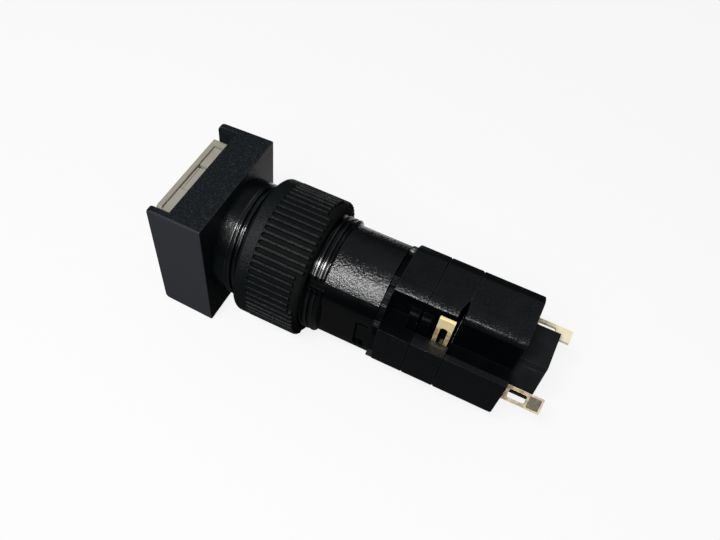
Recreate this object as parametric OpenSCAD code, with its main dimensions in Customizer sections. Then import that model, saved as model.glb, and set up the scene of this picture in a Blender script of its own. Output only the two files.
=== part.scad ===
// Illuminated push button for a 16 mm panel hole, lying on its side.
// The axis of the button runs along +X, from the lens to the terminals.
// +Z is up. The origin is on the axis, in the plane where the bezel's back
// face seats on the panel. Angles round the axis are counted from +Z
// towards -Y, the side with the longer view of the contact block.

/* [Bezel] */
// Width and height of the square bezel
bezel_w = 18.3; // [17.7:0.1:20]
// Depth of the bezel in front of the panel, up to the tips of the guards
bezel_depth = 7.85; // [7:0.05:9]
// Depth of the rim between the guards
rim_depth = 4.95; // [4.6:0.05:5.5]
// Thickness of the two side guards
guard_t = 1; // [0.8:0.05:1.4]
// Radius of the guards' front corners
guard_nose_r = 0.7; // [0.5:0.1:1.2]
// How much each side of the bezel draws in towards the front
bezel_draft = 0.16; // [0.05:0.01:0.3]
// Radius of the bezel's long edges
bezel_edge_r = 0.3; // [0.2:0.1:1]
// Thickness of the bezel's back wall
back_wall = 0.8; // [0.6:0.05:1]

/* [Button] */
// Width of the lens, across the guards
lens_w = 14.1; // [13.8:0.1:14.4]
// Height of the lens, along the guards
lens_h = 15.5; // [14.8:0.1:15.7]
// How far the lens stands out of the rim
lens_proud = 2.8; // [2.4:0.05:2.85]
// Length of the lens from its face to the end of its skirt
lens_len = 3.65; // [3.5:0.05:3.8]
// Thickness of the lens face and skirt
lens_skin = 0.7; // [0.6:0.05:0.8]
// Radius of the lens corners
lens_corner_r = 0.5; // [0.2:0.1:0.8]
// Width of the opening in the lens skirt, top and bottom
window_w = 12.4; // [12.2:0.05:12.4]
// How far that opening sits towards the near side
window_shift = 0.5; // [0.4:0.05:0.5]
// Depth of the white plates' ears below the skin of the lens
ear_recess = 0.25; // [0.15:0.05:0.4]
// Width of the near ear
ear_near_w = 3.9; // [3.7:0.1:4.1]
// Slit between the near ear and the middle ear
ear_slit = 0.1; // [0.06:0.02:0.2]
// Width of the middle ear
ear_middle_w = 4.1; // [3.9:0.1:4.3]
// Notch between the middle ear and the far ear
ear_notch = 0.55; // [0.4:0.05:0.7]
// How far the near and far ears start behind the middle one
ear_setback = 0.1; // [0:0.02:0.14]
// Thickness of the marking plate
marking_t = 0.3; // [0.25:0.05:0.4]
// Thickness of the diffuser plate
diffuser_t = 1.5; // [1.35:0.05:1.55]
// Thickness of the button frame's tray
frame_t = 1.3; // [1.1:0.05:1.4]
// Travel of the button
travel = 2.5; // [2:0.1:2.5]

/* [Neck and barrel] */
// Outer diameter of the neck and of its thread
neck_d = 15.74; // [15.6:0.01:15.9]
// Length of the smooth neck that passes the panel
neck_smooth = 2; // [1.5:0.1:2.2]
// Pitch of the thread
thread_pitch = 0.75; // [0.5:0.25:1]
// Depth of the thread
thread_depth = 0.42; // [0.3:0.01:0.5]
// Distance from the panel seat to the end of the thread
thread_end = 15.2; // [15:0.1:15.5]
// Width of the keyway along the thread and the barrel
keyway_w = 1.2; // [0.8:0.1:1.5]
// Depth of the keyway below the barrel's surface
keyway_depth = 0.45; // [0.3:0.05:0.6]
// Angle of the keyway round the axis
keyway_angle = 52; // [45:1:60]
// Distance from the panel seat to the start of the keyway, under the nut
keyway_x = 9; // [7:0.5:11]
// Diameter of the barrel behind the thread
barrel_d = 14.8; // [14.6:0.1:15]
// Distance from the panel seat to the end of the barrel
barrel_end = 22.5; // [22.3:0.1:22.6]
// Distance between the two flats of the barrel
barrel_flats = 12.9; // [12.7:0.1:13.4]
// Diameter of the bore that holds the return spring
spring_bore_d = 12.76; // [12.7:0.02:12.9]
// Distance from the panel seat to the ledge that carries the return spring
ledge_x = 8; // [7.5:0.1:8.5]
// Length of the plunger's guide behind the ledge
guide_len = 4; // [3:0.1:5]
// Diameter of the bore behind the guide
rear_bore_d = 10.8; // [10.6:0.1:11]
// Length of the latch window
latch_window_len = 1.7; // [1.6:0.05:1.8]
// Height of the latch window
latch_window_h = 4.9; // [4.8:0.05:5]
// Lower edge of the near latch window, from the axis
latch_low = -3.2; // [-3.25:0.05:-3.1]
// Wall left between the latch window and the barrel's end
latch_bar = 0.5; // [0.4:0.05:0.6]

/* [Locking nut] */
// How far the nut's ribs stand out past the sides of the bezel
nut_over = 0.3; // [0.2:0.02:0.4]
// Distance from the panel seat to the front of the nut
nut_x = 4.05; // [4:0.05:4.2]
// Length of the nut
nut_len = 9.05; // [8.7:0.05:9.1]
// Length of the smooth collar in front of the ribs
nut_collar = 1.85; // [1.7:0.05:2]
// Length of the smooth shoulder behind the short ribs
nut_shoulder = 1.1; // [0.9:0.1:1.4]
// Number of ribs round the nut
rib_count = 60; // [36:4:60]
// Depth of the grooves between the ribs
rib_depth = 0.46; // [0.3:0.02:0.5]
// Part of the rib pitch that the groove takes at the top
rib_groove_share = 0.54; // [0.4:0.02:0.6]
// Angle covered by each group of long ribs
long_rib_angle = 50; // [40:1:60]
// Angle of the middle of such a group
long_rib_centre = 21; // [15:1:27]
// Running clearance between the nut and the neck
nut_clearance = 0.06; // [0.04:0.01:0.09]
// Travel of the nut from its present place, each way
nut_travel = 2; // [1:0.1:2]

/* [Contact block] */
// Diameter over the round corners of the contact block
block_d = 15.92; // [15.8:0.02:16.1]
// Distance over the flats of the contact block
block_flats = 14.7; // [14.5:0.1:14.9]
// Gap between the barrel and the contact block, which the collar fills
block_gap = 0.9; // [0.85:0.05:1]
// Length of the front section
front_len = 4.2; // [4:0.1:4.4]
// Length of the middle section
middle_len = 4.3; // [4.1:0.1:4.5]
// Length of the rear section
rear_len = 7.95; // [7.7:0.05:8.3]
// Joint between two sections
seam = 0.08; // [0.02:0.01:0.1]
// How far the section edges are broken at the seams
seam_bevel = 0.08; // [0.05:0.01:0.15]
// Distance from the axis to the wall of the terminal channel
channel_wall = 3.5; // [3.4:0.05:3.7]
// Radius of the long edge between the top and the channel, front and middle sections
channel_edge_r = 0.25; // [0.15:0.05:0.4]
// Radius of the same edge in the rear section
rear_edge_r = 1.1; // [0.8:0.1:1.2]
// Height of the channel's ledge above the axis
channel_ledge = 3.3; // [3.1:0.1:3.5]
// Height of the channel's floor above the axis
channel_floor = 1.6; // [1.4:0.1:1.8]
// Thickness of the channel's outer wall in the middle section
channel_lip_middle = 1.9; // [1.6:0.1:2.1]
// Thickness of the channel's outer wall in the rear section
channel_lip_rear = 0.9; // [0.7:0.1:1.1]
// Length of the hooks that clip the sections together
hook_len = 1.2; // [1.1:0.05:1.3]
// Height of the hooks above the ledge
hook_h = 2; // [1.6:0.1:2.2]
// Reach of the hooks from the channel's wall
hook_reach = 1.15; // [0.9:0.05:1.4]
// Bore for the contact carrier
carrier_bore_d = 6.7; // [6.6:0.05:6.8]
// Width of the latch arm
latch_arm_w = 3.85; // [3.8:0.05:3.9]
// Width of the hook on the latch arm
latch_hook_w = 3.05; // [3:0.05:3.15]
// Length of the hook on the latch arm
latch_hook_len = 1.2; // [1.1:0.05:1.25]
// Thickness of the latch arm
latch_arm_t = 0.6; // [0.5:0.05:0.65]

/* [Coupling collar] */
// Diameter of the coupling collar
collar_d = 13.8; // [13.6:0.1:14]
// Bore of the coupling collar
collar_bore_d = 10.4; // [10.2:0.1:10.6]
// Length of the coupling collar
collar_len = 0.8; // [0.7:0.05:0.8]
// Radius of the grip pads on the collar
pad_r = 7.5; // [7.4:0.05:7.6]
// Number of grooves in a grip pad
pad_grooves = 4; // [2:1:5]
// Depth of the grooves in a grip pad
pad_groove_depth = 0.2; // [0.1:0.05:0.25]

/* [Terminals] */
// Width of a terminal tab
tab_w = 2; // [1.9:0.05:2.2]
// Thickness of a terminal tab
tab_t = 0.45; // [0.4:0.05:0.6]
// Length of a rear tab behind the contact block
tab_len = 5.15; // [4.8:0.05:5.4]
// Length of the tab's wire slot
tab_slot_len = 2.3; // [2:0.1:2.5]
// Width of the tab's wire slot
tab_slot_w = 1.1; // [0.9:0.05:1.2]
// Radius of the wire slot's corners
tab_slot_r = 0.25; // [0.15:0.05:0.4]
// Solid end of a tab
tab_tip = 2.05; // [1.8:0.05:2.2]
// Distance of the rear tabs from the axis, sideways
rear_tab_y = 4.95; // [4.8:0.05:5]
// Distance of the rear tabs from the axis, up or down
rear_tab_z = 1.05; // [1:0.05:1.1]
// Lean of the lower rear tab
lower_tab_lean = 35; // [30:1:40]
// Length of the rear tab held in the contact block
tab_root = 3; // [2.5:0.1:3.5]
// Width of a side tab
side_tab_w = 2; // [1.9:0.05:2.1]
// Width of a side tab's wire slot
side_slot_w = 0.95; // [0.85:0.05:1.1]
// Radius of that slot's corners
side_slot_r = 0.4; // [0.25:0.05:0.4]
// Solid end of a side tab
side_tip = 1.65; // [1.4:0.05:1.9]
// Distance of the side tabs from the axis
side_tab_y = 4.35; // [4.3:0.05:4.5]
// Top of the side tab above the axis
side_tab_top = 6.8; // [6.4:0.1:7]
// Distance from the side tab to the joint with the rear section
side_tab_back = 0.4; // [0.3:0.05:0.5]
// Thickness of the fixed contact arms
arm_t = 0.4; // [0.3:0.05:0.5]
// Distance from the axis to the contact tips
tip_r = 3; // [2.98:0.01:3.02]
// Diameter of the contact tips
tip_d = 0.56; // [0.5:0.02:0.6]
// Height of the contact tips
tip_h = 0.2; // [0.15:0.05:0.25]

/* [Lamp] */
// Length of the lamp block behind the contact block
lamp_block_len = 3.7; // [3.4:0.05:4]
// Height of the lamp block's top face above the axis
lamp_block_top = 2.5; // [2.3:0.05:2.7]
// Reach of the top face to the far side
lamp_block_far = 3.9; // [3.6:0.05:4]
// Reach of the top face to the near side
lamp_block_near = 1.9; // [1.7:0.05:2.1]
// Reach of the sloping side face, at its lower edge
lamp_block_side = 3.3; // [3.1:0.05:3.4]
// Drop from the top face to the sloping face
lamp_block_step = 0.7; // [0.5:0.05:0.9]
// Diameter of the lamp holder's cup
cup_d = 7.1; // [6.8:0.1:7.2]
// Bore of the lamp holder's cup
cup_bore_d = 5.8; // [5.6:0.1:6]
// Distance from the panel seat to the mouth of the cup
cup_x = 4; // [3.5:0.1:4.5]
// Length of the cup
cup_len = 8; // [7:0.1:8.5]
// Diameter of the post that carries the cup
post_d = 4.4; // [4.3:0.05:4.5]
// Bore of the post
post_bore_d = 3.2; // [3.1:0.05:3.3]
// Diameter of the lamp's dome
dome_d = 5; // [4.6:0.1:5.2]
// Length of the dome in front of the cup
dome_len = 5; // [4.5:0.1:5.2]
// Length of the lamp's base in the cup
lamp_base_len = 4.5; // [4:0.1:5]
// Width of the lamp leads
lead_w = 1.6; // [1.4:0.1:1.8]
// Thickness of the lamp leads
lead_t = 0.3; // [0.2:0.05:0.4]
// Distance between the two lamp leads
lead_gap = 1.1; // [1:0.05:1.2]
// Width of the foot that joins a lead to its terminal
lead_foot_w = 0.8; // [0.6:0.1:1]

/* [Plunger, carrier and springs] */
// Diameter of the plunger
plunger_d = 10; // [9.8:0.05:10]
// Bore of the plunger
plunger_bore_d = 7.9; // [7.8:0.05:8.1]
// Distance from the rear end of the plunger to the end of the barrel
plunger_setback = 2.7; // [2.7:0.1:3]
// Thickness of the plunger's flange
plunger_flange_t = 1.2; // [1:0.1:1.4]
// Running clearance of the sliding parts
run_clearance = 0.08; // [0.04:0.01:0.09]
// Diameter of the return spring, middle of the wire
spring_d = 11.3; // [11.2:0.05:11.4]
// Wire of the return spring
spring_wire = 0.6; // [0.5:0.05:0.65]
// Turns of the return spring
spring_turns = 6; // [5:1:7]
// Diameter of the carrier's flange
carrier_flange_d = 9.4; // [9:0.1:9.6]
// Thickness of the carrier's flange
carrier_flange_t = 0.8; // [0.6:0.05:0.9]
// Diameter of the carrier's stem
stem_d = 5.5; // [5.45:0.01:5.55]
// Bore of the carrier's stem
stem_bore_d = 4.56; // [4.52:0.01:4.6]
// Diameter of the contact spring, middle of the wire
contact_spring_d = 6; // [5.98:0.01:6.04]
// Wire of the contact spring
contact_wire = 0.32; // [0.3:0.01:0.34]
// Turns of the contact spring
contact_turns = 5; // [4:1:6]
// Outer diameter of the moving contact ring
bridge_d = 6.5; // [6.46:0.01:6.54]
// Thickness of the moving contact ring
bridge_t = 0.35; // [0.3:0.05:0.4]

/* [Hidden] */
$fn = 96;

// A little more than nothing, so that cutters pass right through.
eps = 0.05;
far = 40;

black = [0.10, 0.11, 0.12];
cream = [0.86, 0.82, 0.72];
white = [0.92, 0.91, 0.88];
steel = [0.75, 0.76, 0.78];
brass = [0.80, 0.70, 0.46];
silver = [0.85, 0.85, 0.86];

// Button
face_x = -(rim_depth + lens_proud);
pocket_gap = 0.25;
pocket_y = lens_w / 2 + pocket_gap;
pocket_z = lens_h / 2 + pocket_gap;
plate_gap = 0.05;
marking_x = face_x + lens_skin + plate_gap;
diffuser_x = marking_x + marking_t + plate_gap;
frame_x = diffuser_x + diffuser_t + plate_gap;
frame_back = frame_x + frame_t;
stop_gap = 0.1;
plate_y = lens_w / 2 - lens_skin - plate_gap;
plate_z = lens_h / 2 - lens_skin - plate_gap;
ear_z = lens_h / 2 - ear_recess;
ear_end = face_x + lens_len;
ear_near_y = plate_gap - window_w / 2 - window_shift;
ear_middle_y = ear_near_y + ear_near_w + ear_slit;
ear_far_y = ear_middle_y + ear_middle_w + ear_notch;
ear_far_w = window_w / 2 - window_shift - plate_gap - ear_far_y;

// Neck and barrel
neck_r = neck_d / 2;
root_r = neck_r - thread_depth;
barrel_r = barrel_d / 2;
thread_turns = floor((thread_end - neck_smooth) / thread_pitch);
guide_r = plunger_d / 2 + run_clearance;
plunger_end = barrel_end - plunger_setback;
window_x = barrel_end - latch_bar - latch_window_len;
latch_arm_low = latch_low + 0.35;
latch_hook_low = latch_low + 1.4;
latch_hook_x = window_x + 0.25;

// Nut
nut_bore_r = neck_r + nut_clearance;
nut_r = bezel_w / 2 + nut_over;
nut_wall = nut_r - nut_bore_r;
nut_end = nut_x + nut_len;
nut_front_round = 0.33 * nut_wall;
// The rear edge's round is limited by the wall under the ribs
nut_round = min(0.5 * nut_wall, 0.8 * (nut_wall - rib_depth));
long_rib_end = nut_end - 0.25;
rib_sink = 0.35;

// Contact block
block_r = block_d / 2;
flat_y = block_flats / 2;
block_x = barrel_end + block_gap;
middle_x = block_x + front_len + seam;
rear_x = middle_x + middle_len + seam;
block_end = rear_x + rear_len;
deep_x = middle_x - seam - 1.5;
carrier_bore_r = carrier_bore_d / 2;
arm_gap = 0.05;

// Carrier and contacts
carrier_x = plunger_end + 0.1;
stem_r = stem_d / 2;
arm_x = rear_x - side_tab_back - 1.1;
tip_gap = 0.12;
bridge_x = arm_x - 2 * tip_h - tip_gap - travel - bridge_t;
head_t = 0.5;
bridge_hole_r = stem_r - 0.25;

// Side terminals, which stand in the terminal channels
side_tab_x = rear_x - side_tab_back - side_tab_w;
side_tab_root = channel_floor;
side_slot_root = 0.3;

// Lamp
post_r = post_d / 2;
lamp_block_x = block_end - 0.4;
lamp_block_end = block_end + lamp_block_len;
foot_x = lamp_block_x - lead_foot_w - 0.4;
foot_y = rear_tab_y - tab_w / 2 - 0.03;

// Places children drawn in the plane across the axis, and extrudes along the axis.
module axial(x) {
    translate([x, 0, 0]) rotate([90, 0, 90]) children();
}

// Turns children round the axis, from +Z towards -Y.
module round_axis(angle) {
    rotate([angle, 0, 0]) children();
}

// A turned body: points are [distance along the axis, radius].
module turned(points) {
    axial(0) rotate_extrude() polygon([for (p = points) [p[1], p[0]]]);
}

// A round bar or hole along the axis.
module bar(x0, x1, r) {
    axial(x0) cylinder(h = x1 - x0, r = r);
}

// A tube along the axis.
module tube(x0, x1, outer_r, inner_r) {
    difference() {
        bar(x0, x1, outer_r);
        bar(x0 - eps, x1 + eps, inner_r);
    }
}

// A box given by its two corners.
module box(low, high) {
    translate(low) cube(high - low);
}

// A flat rectangle with round corners, centred.
module round_rect(w, h, r) {
    square([w - 2 * r, h], center = true);
    square([w, h - 2 * r], center = true);
    for (i = [-1, 1], j = [-1, 1])
        translate([i * (w / 2 - r), j * (h / 2 - r)]) circle(r = r, $fn = 48);
}

// Points on a quarter or part of a circle.
function arc(cx, cy, r, from, to, steps = 6) =
    [for (i = [0:steps]) let (a = from + (to - from) * i / steps) [cx + r * cos(a), cy + r * sin(a)]];

// A coil of round wire along the axis, as one closed skin.
module coil(x0, x1, d, wire, turns, sides, steps) {
    count = turns * steps;
    lead = (x1 - x0 - wire) / turns;
    slope = atan(lead / (PI * d));
    points = [for (i = [0:count], k = [0:sides - 1])
        let (a = 360 * i / steps, b = 360 * k / sides,
            out = d / 2 + wire / 2 * cos(b),
            side = wire / 2 * sin(b))
        [x0 + wire / 2 + lead * i / steps + side * cos(slope),
            -out * sin(a) - side * sin(slope) * cos(a),
            out * cos(a) - side * sin(slope) * sin(a)]];
    skin = [for (i = [0:count - 1], k = [0:sides - 1])
        let (n = (k + 1) % sides)
        [i * sides + k, i * sides + n, (i + 1) * sides + n, (i + 1) * sides + k]];
    start = [for (k = [0:sides - 1]) sides - 1 - k];
    finish = [for (k = [0:sides - 1]) count * sides + k];
    polyhedron(points, concat(skin, [start, finish]));
}

// Outline of the bezel seen from one side, drawn in towards the front.
module drafted_side() {
    half = bezel_w / 2;
    polygon([[0, -half], [0, half], [-bezel_depth, half - bezel_draft],
        [-bezel_depth, bezel_draft - half]]);
}

// Rounds one front corner of the guards, tangent to the drafted side.
module nose_cutter() {
    slope = atan(bezel_draft / bezel_depth);
    front = bezel_w / 2 - bezel_draft;
    cx = -bezel_depth + guard_nose_r;
    cz = front + guard_nose_r * tan(slope) - guard_nose_r / cos(slope);
    difference() {
        polygon([[cx, cz], [-bezel_depth - 1, cz], [-bezel_depth - 1, front + 1],
            [cx - guard_nose_r * sin(slope), front + 1],
            [cx - guard_nose_r * sin(slope), cz + guard_nose_r * cos(slope)]]);
        translate([cx, cz]) circle(r = guard_nose_r);
    }
}

// The square bezel with its two guards, before the pocket is cut.
module bezel_block() {
    half = bezel_w / 2;
    difference() {
        intersection() {
            axial(-bezel_depth) linear_extrude(height = bezel_depth)
                round_rect(bezel_w, bezel_w, bezel_edge_r);
            translate([0, half + 1, 0]) rotate([90, 0, 0])
                linear_extrude(height = bezel_w + 2) drafted_side();
            translate([0, 0, -half - 1]) linear_extrude(height = bezel_w + 2) drafted_side();
        }
        // Gap between the guards
        box([-bezel_depth - 1, guard_t - half, -half - 1], [-rim_depth, half - guard_t, half + 1]);
        for (side = [0, 1])
            mirror([0, 0, side])
                translate([0, half + 1, 0]) rotate([90, 0, 0])
                    linear_extrude(height = bezel_w + 2) nose_cutter();
    }
}

// Ring ridges of the fine thread, with flat crests.
module thread_ridges() {
    flank = thread_pitch * 0.3;
    crest = thread_pitch * 0.25;
    ridge = [for (i = [0:thread_turns - 1])
        let (x = neck_smooth + thread_pitch * i + thread_pitch * 0.15)
        each [[x, root_r], [x + flank, neck_r], [x + flank + crest, neck_r], [x + 2 * flank + crest, root_r]]];
    turned(concat([[neck_smooth - eps, 1], [neck_smooth - eps, root_r]], ridge,
        [[thread_end, root_r], [thread_end, 1]]));
}

// Slot for a latch arm on the near side.
module latch_slot(x0, depth) {
    box([x0, -far, latch_arm_low - arm_gap], [far, depth, latch_arm_low + latch_arm_w + arm_gap]);
}

// Bezel, threaded neck and barrel, moulded in one piece.
module housing() {
    color(black) difference() {
        union() {
            bezel_block();
            bar(-eps, neck_smooth, neck_r);
            thread_ridges();
            difference() {
                bar(thread_end - eps, barrel_end, barrel_r);
                for (side = [-1, 1])
                    translate([thread_end, side * (barrel_flats / 2 + far / 2), -far / 2])
                        translate([0, -far / 2, 0]) cube([far, far, far]);
            }
        }
        // Pocket for the button
        axial(-bezel_depth - 1) linear_extrude(height = bezel_depth + 1 - back_wall)
            round_rect(2 * pocket_y, 2 * pocket_z, lens_corner_r + pocket_gap);
        bar(-far, ledge_x, spring_bore_d / 2);
        bar(ledge_x - eps, ledge_x + guide_len + eps, guide_r);
        bar(ledge_x + guide_len, far, rear_bore_d / 2);
        // Keyway
        round_axis(keyway_angle)
            box([keyway_x, -keyway_w / 2, barrel_r - keyway_depth], [far, keyway_w / 2, neck_r + 1]);
        // Latch windows, with the slots that the latch arms slide in through
        for (turn = [0, 180])
            round_axis(turn) {
                box([window_x, -far, latch_low],
                    [window_x + latch_window_len, 2 - rear_bore_d / 2, latch_low + latch_window_h]);
                latch_slot(window_x, 2 - rear_bore_d / 2);
            }
    }
}

// One rib of the nut, on the +Z side.
module nut_rib(x1) {
    pitch = 2 * PI * nut_r / rib_count;
    top = pitch * (1 - rib_groove_share) / 2;
    foot = top + 0.08;
    root = nut_r - rib_depth - rib_sink;
    axial(nut_x + nut_collar - 0.3) linear_extrude(height = x1 - nut_x - nut_collar + 0.3)
        polygon([[-foot, root], [-top - 0.02, nut_r - 0.16], [0.12 - top, nut_r - 0.03],
            [top - 0.12, nut_r - 0.03], [top + 0.02, nut_r - 0.16], [foot, root]]);
}

// Smooth body of the nut, without ribs, with round ends.
module nut_core() {
    core_r = nut_r - rib_depth;
    turned(concat([[nut_x, nut_bore_r]],
        arc(nut_x + nut_front_round, nut_r - nut_front_round, nut_front_round, 180, 90),
        [[nut_x + nut_collar, nut_r], [nut_x + nut_collar, core_r]],
        arc(nut_end - nut_round, core_r - nut_round, nut_round, 90, 0),
        [[nut_end, nut_bore_r]]));
}

// Ribbed locking nut with four groups of longer ribs.
module locking_nut() {
    color(black) difference() {
        union() {
            nut_core();
            for (i = [0:rib_count - 1])
                let (angle = 360 / rib_count * (i + 0.5),
                    off = abs((angle - long_rib_centre + 45 + 360) % 90 - 45))
                round_axis(angle) nut_rib(off < long_rib_angle / 2 ? long_rib_end : nut_end - nut_shoulder);
        }
        bar(0, far, nut_bore_r);
    }
}

// Cream lens: a face and a skirt, open at the top and the bottom behind the face.
module lens_cover() {
    color(cream) difference() {
        axial(face_x) linear_extrude(height = lens_len) round_rect(lens_w, lens_h, lens_corner_r);
        box([face_x + lens_skin, -lens_w / 2 + lens_skin, -lens_h / 2 + lens_skin],
            [far, lens_w / 2 - lens_skin, lens_h / 2 - lens_skin]);
        box([face_x + lens_skin, -window_w / 2 - window_shift, -far], [far, window_w / 2 - window_shift, far]);
    }
}

// An ear of a white plate, from y on, standing in the opening of the lens skirt.
module ear(x0, x1, y, w) {
    for (side = [0, 1])
        mirror([0, 0, side])
            box([x0, y, plate_z - 1], [x1, y + w, ear_z]);
}

// White plate behind the lens face that would carry a legend.
module marking_plate() {
    color(white) {
        box([marking_x, -plate_y, -plate_z], [marking_x + marking_t, plate_y, plate_z]);
        ear(marking_x, marking_x + marking_t, ear_middle_y, ear_middle_w);
    }
}

// White diffuser whose side ears reach to the lens face.
module diffuser_plate() {
    color(white) {
        box([diffuser_x, -plate_y, -plate_z], [diffuser_x + diffuser_t, plate_y, plate_z]);
        ear(diffuser_x, diffuser_x + diffuser_t, ear_middle_y, ear_middle_w);
        difference() {
            union() {
                ear(marking_x + ear_setback, diffuser_x + diffuser_t, ear_near_y, ear_near_w);
                ear(marking_x + ear_setback, diffuser_x + diffuser_t, ear_far_y, ear_far_w);
            }
            box([marking_x - 1, -far, -plate_z - plate_gap],
                [diffuser_x, far, plate_z + plate_gap]);
        }
    }
}

// Tray that carries the lens and its plates.
module button_frame() {
    tray_y = lens_w / 2 - 0.1;
    tray_z = lens_h / 2 - 0.1;
    color(black) difference() {
        union() {
            box([frame_x, -plate_y, -plate_z], [frame_back, plate_y, plate_z]);
            box([ear_end + plate_gap, -tray_y, -tray_z], [frame_back, tray_y, tray_z]);
            ear(frame_x, frame_back, ear_near_y, window_w - 2 * plate_gap);
        }
        bar(-far, far, plunger_bore_d / 2);
    }
}

// Plunger: a tube with a flange that the return spring pushes.
module plunger() {
    color(white) difference() {
        union() {
            bar(frame_back, plunger_end, plunger_d / 2);
            bar(frame_back, frame_back + plunger_flange_t, spring_bore_d / 2 - run_clearance);
        }
        bar(-far, far, plunger_bore_d / 2);
    }
}

// Return spring between the plunger's flange and the ledge in the housing.
module return_spring() {
    color(steel)
        coil(frame_back + plunger_flange_t + 0.04, ledge_x - 0.04, spring_d, spring_wire, spring_turns, 8, 24);
}

// Lamp: a clear dome on a round base.
module led_lamp() {
    dome_r = dome_d / 2;
    tip = cup_x - dome_len;
    color(cream) {
        bar(tip + dome_r, cup_x + 0.5, dome_r);
        intersection() {
            translate([tip + dome_r, 0, 0]) sphere(r = dome_r);
            bar(tip - 1, tip + dome_r + eps, dome_r + 1);
        }
        bar(cup_x + 0.5 - eps, cup_x + lamp_base_len, cup_bore_d / 2 - 0.05);
    }
}

// Lamp holder: a cup on a long hollow post.
module lamp_holder() {
    color(white) difference() {
        union() {
            bar(cup_x, cup_x + cup_len, cup_d / 2);
            bar(cup_x + cup_len - eps, foot_x - 0.1, post_r);
        }
        bar(cup_x - eps, cup_x + lamp_base_len + 0.3, cup_bore_d / 2);
        bar(cup_x, far + 20, post_bore_d / 2);
    }
}

// A strip along the post, with a foot that reaches to the terminal's root.
module lead_strip(grow) {
    low = lead_gap / 2 - grow;
    high = lead_gap / 2 + lead_t + grow;
    box([cup_x + lamp_base_len + 0.1, -lead_w / 2 - grow, low],
        [lamp_block_x + 0.9 + grow, lead_w / 2 + grow, high]);
    box([foot_x - grow, 0, low], [foot_x + lead_foot_w + grow, foot_y + grow, high]);
}

module lamp_lead_upper() {
    color(brass) lead_strip(0);
}

module lamp_lead_lower() {
    color(brass) round_axis(180) lead_strip(0);
}

// A grip pad on the collar, grooved along the axis.
module grip_pad(from, to) {
    width = 2 * pad_r * sin((to - from) / 2);
    step = width / (pad_grooves + 1);
    round_axis((from + to) / 2) difference() {
        box([barrel_end + arm_gap, -width / 2, collar_d / 2 - 0.6],
            [barrel_end + arm_gap + collar_len, width / 2, pad_r]);
        for (i = [1:pad_grooves])
            translate([0, i * step - width / 2, 0])
                box([0, -step / 5, pad_r - pad_groove_depth], [far, step / 5, far]);
    }
}

// Ring between the barrel and the contact block, with grip pads and a stop.
module coupling_collar() {
    color(black) {
        difference() {
            tube(barrel_end + arm_gap, barrel_end + arm_gap + collar_len, collar_d / 2, collar_bore_d / 2);
            for (turn = [0, 180])
                round_axis(turn)
                    latch_slot(0, latch_arm_t + 2 * arm_gap - barrel_flats / 2);
        }
        grip_pad(13, 24);
        grip_pad(30, 47);
        grip_pad(60, 67);
        grip_pad(-52, -40);
        grip_pad(-34, -26);
        round_axis(121)
            box([barrel_end + arm_gap, -0.5, collar_d / 2 - 0.6],
                [barrel_end + arm_gap + collar_len, 0.5, block_r]);
    }
}

// Outline of the contact block across the axis: round with four flats.
module block_outline(inset = 0) {
    intersection() {
        circle(r = block_r - inset);
        square([block_flats - 2 * inset, block_flats - 2 * inset], center = true);
    }
}

// One section of the contact block, its edges broken at both ends.
module block_section(x0, x1) {
    axial(x0) linear_extrude(height = seam_bevel + eps) block_outline(seam_bevel);
    axial(x0 + seam_bevel) linear_extrude(height = x1 - x0 - 2 * seam_bevel) block_outline();
    axial(x1 - seam_bevel - eps) linear_extrude(height = seam_bevel + eps) block_outline(seam_bevel);
}

// The terminal channel at the near top, and its twin half a turn away.
module channel(x0, x1, lip) {
    for (turn = [0, 180])
        round_axis(turn) {
            box([x0, -far, channel_ledge], [x1, -channel_wall, far]);
            box([x0, lip - flat_y, channel_floor], [x1, -channel_wall, far]);
        }
}

// Rounds the long edges between the top or the bottom and the channels.
module channel_edges(x0, x1, r) {
    for (turn = [0, 180])
        round_axis(turn)
            axial(x0) linear_extrude(height = x1 - x0) difference() {
                translate([-channel_wall - 1, flat_y - r]) square([1 + r, 1 + r]);
                translate([r - channel_wall, flat_y - r]) circle(r = r, $fn = 48);
            }
}

// A hook that clips two sections together, in each channel.
module hooks(x0, x1) {
    for (turn = [0, 180])
        round_axis(turn)
            box([x0, -channel_wall - hook_reach, channel_floor - eps],
                [x1, -channel_wall + eps, channel_ledge + hook_h]);
}

// Front section, with the latch arms that hold it to the barrel.
module contact_block_front() {
    arm_y = barrel_flats / 2;
    color(black) difference() {
        union() {
            difference() {
                block_section(block_x, middle_x - seam);
                for (turn = [0, 180])
                    round_axis(turn)
                        box([0, -far, channel_ledge], [middle_x + 1, -channel_wall, far]);
                channel(deep_x, middle_x + 1, channel_lip_middle);
                channel_edges(block_x - 1, middle_x + 1, channel_edge_r);
            }
            hooks(deep_x, deep_x + hook_len);
            for (turn = [0, 180])
                round_axis(turn) {
                    box([latch_hook_x + latch_hook_len - eps, -arm_y, latch_arm_low],
                        [block_x + eps, latch_arm_t - arm_y, latch_arm_low + latch_arm_w]);
                    box([latch_hook_x, -arm_y, latch_hook_low],
                        [latch_hook_x + latch_hook_len, latch_arm_t - arm_y, latch_hook_low + latch_hook_w]);
                }
        }
        bar(0, far, carrier_bore_r);
    }
}

// Middle section, which holds the fixed contacts.
module contact_block_middle() {
    color(black) difference() {
        union() {
            difference() {
                block_section(middle_x, rear_x - seam);
                channel(middle_x - 1, rear_x + 1, channel_lip_middle);
                channel_edges(middle_x - 1, rear_x + 1, channel_edge_r);
            }
            hooks(middle_x, middle_x + hook_len);
        }
        bar(0, far + 20, carrier_bore_r);
        for (turn = [0, 180])
            round_axis(turn)
                arm_slot();
    }
}

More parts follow.
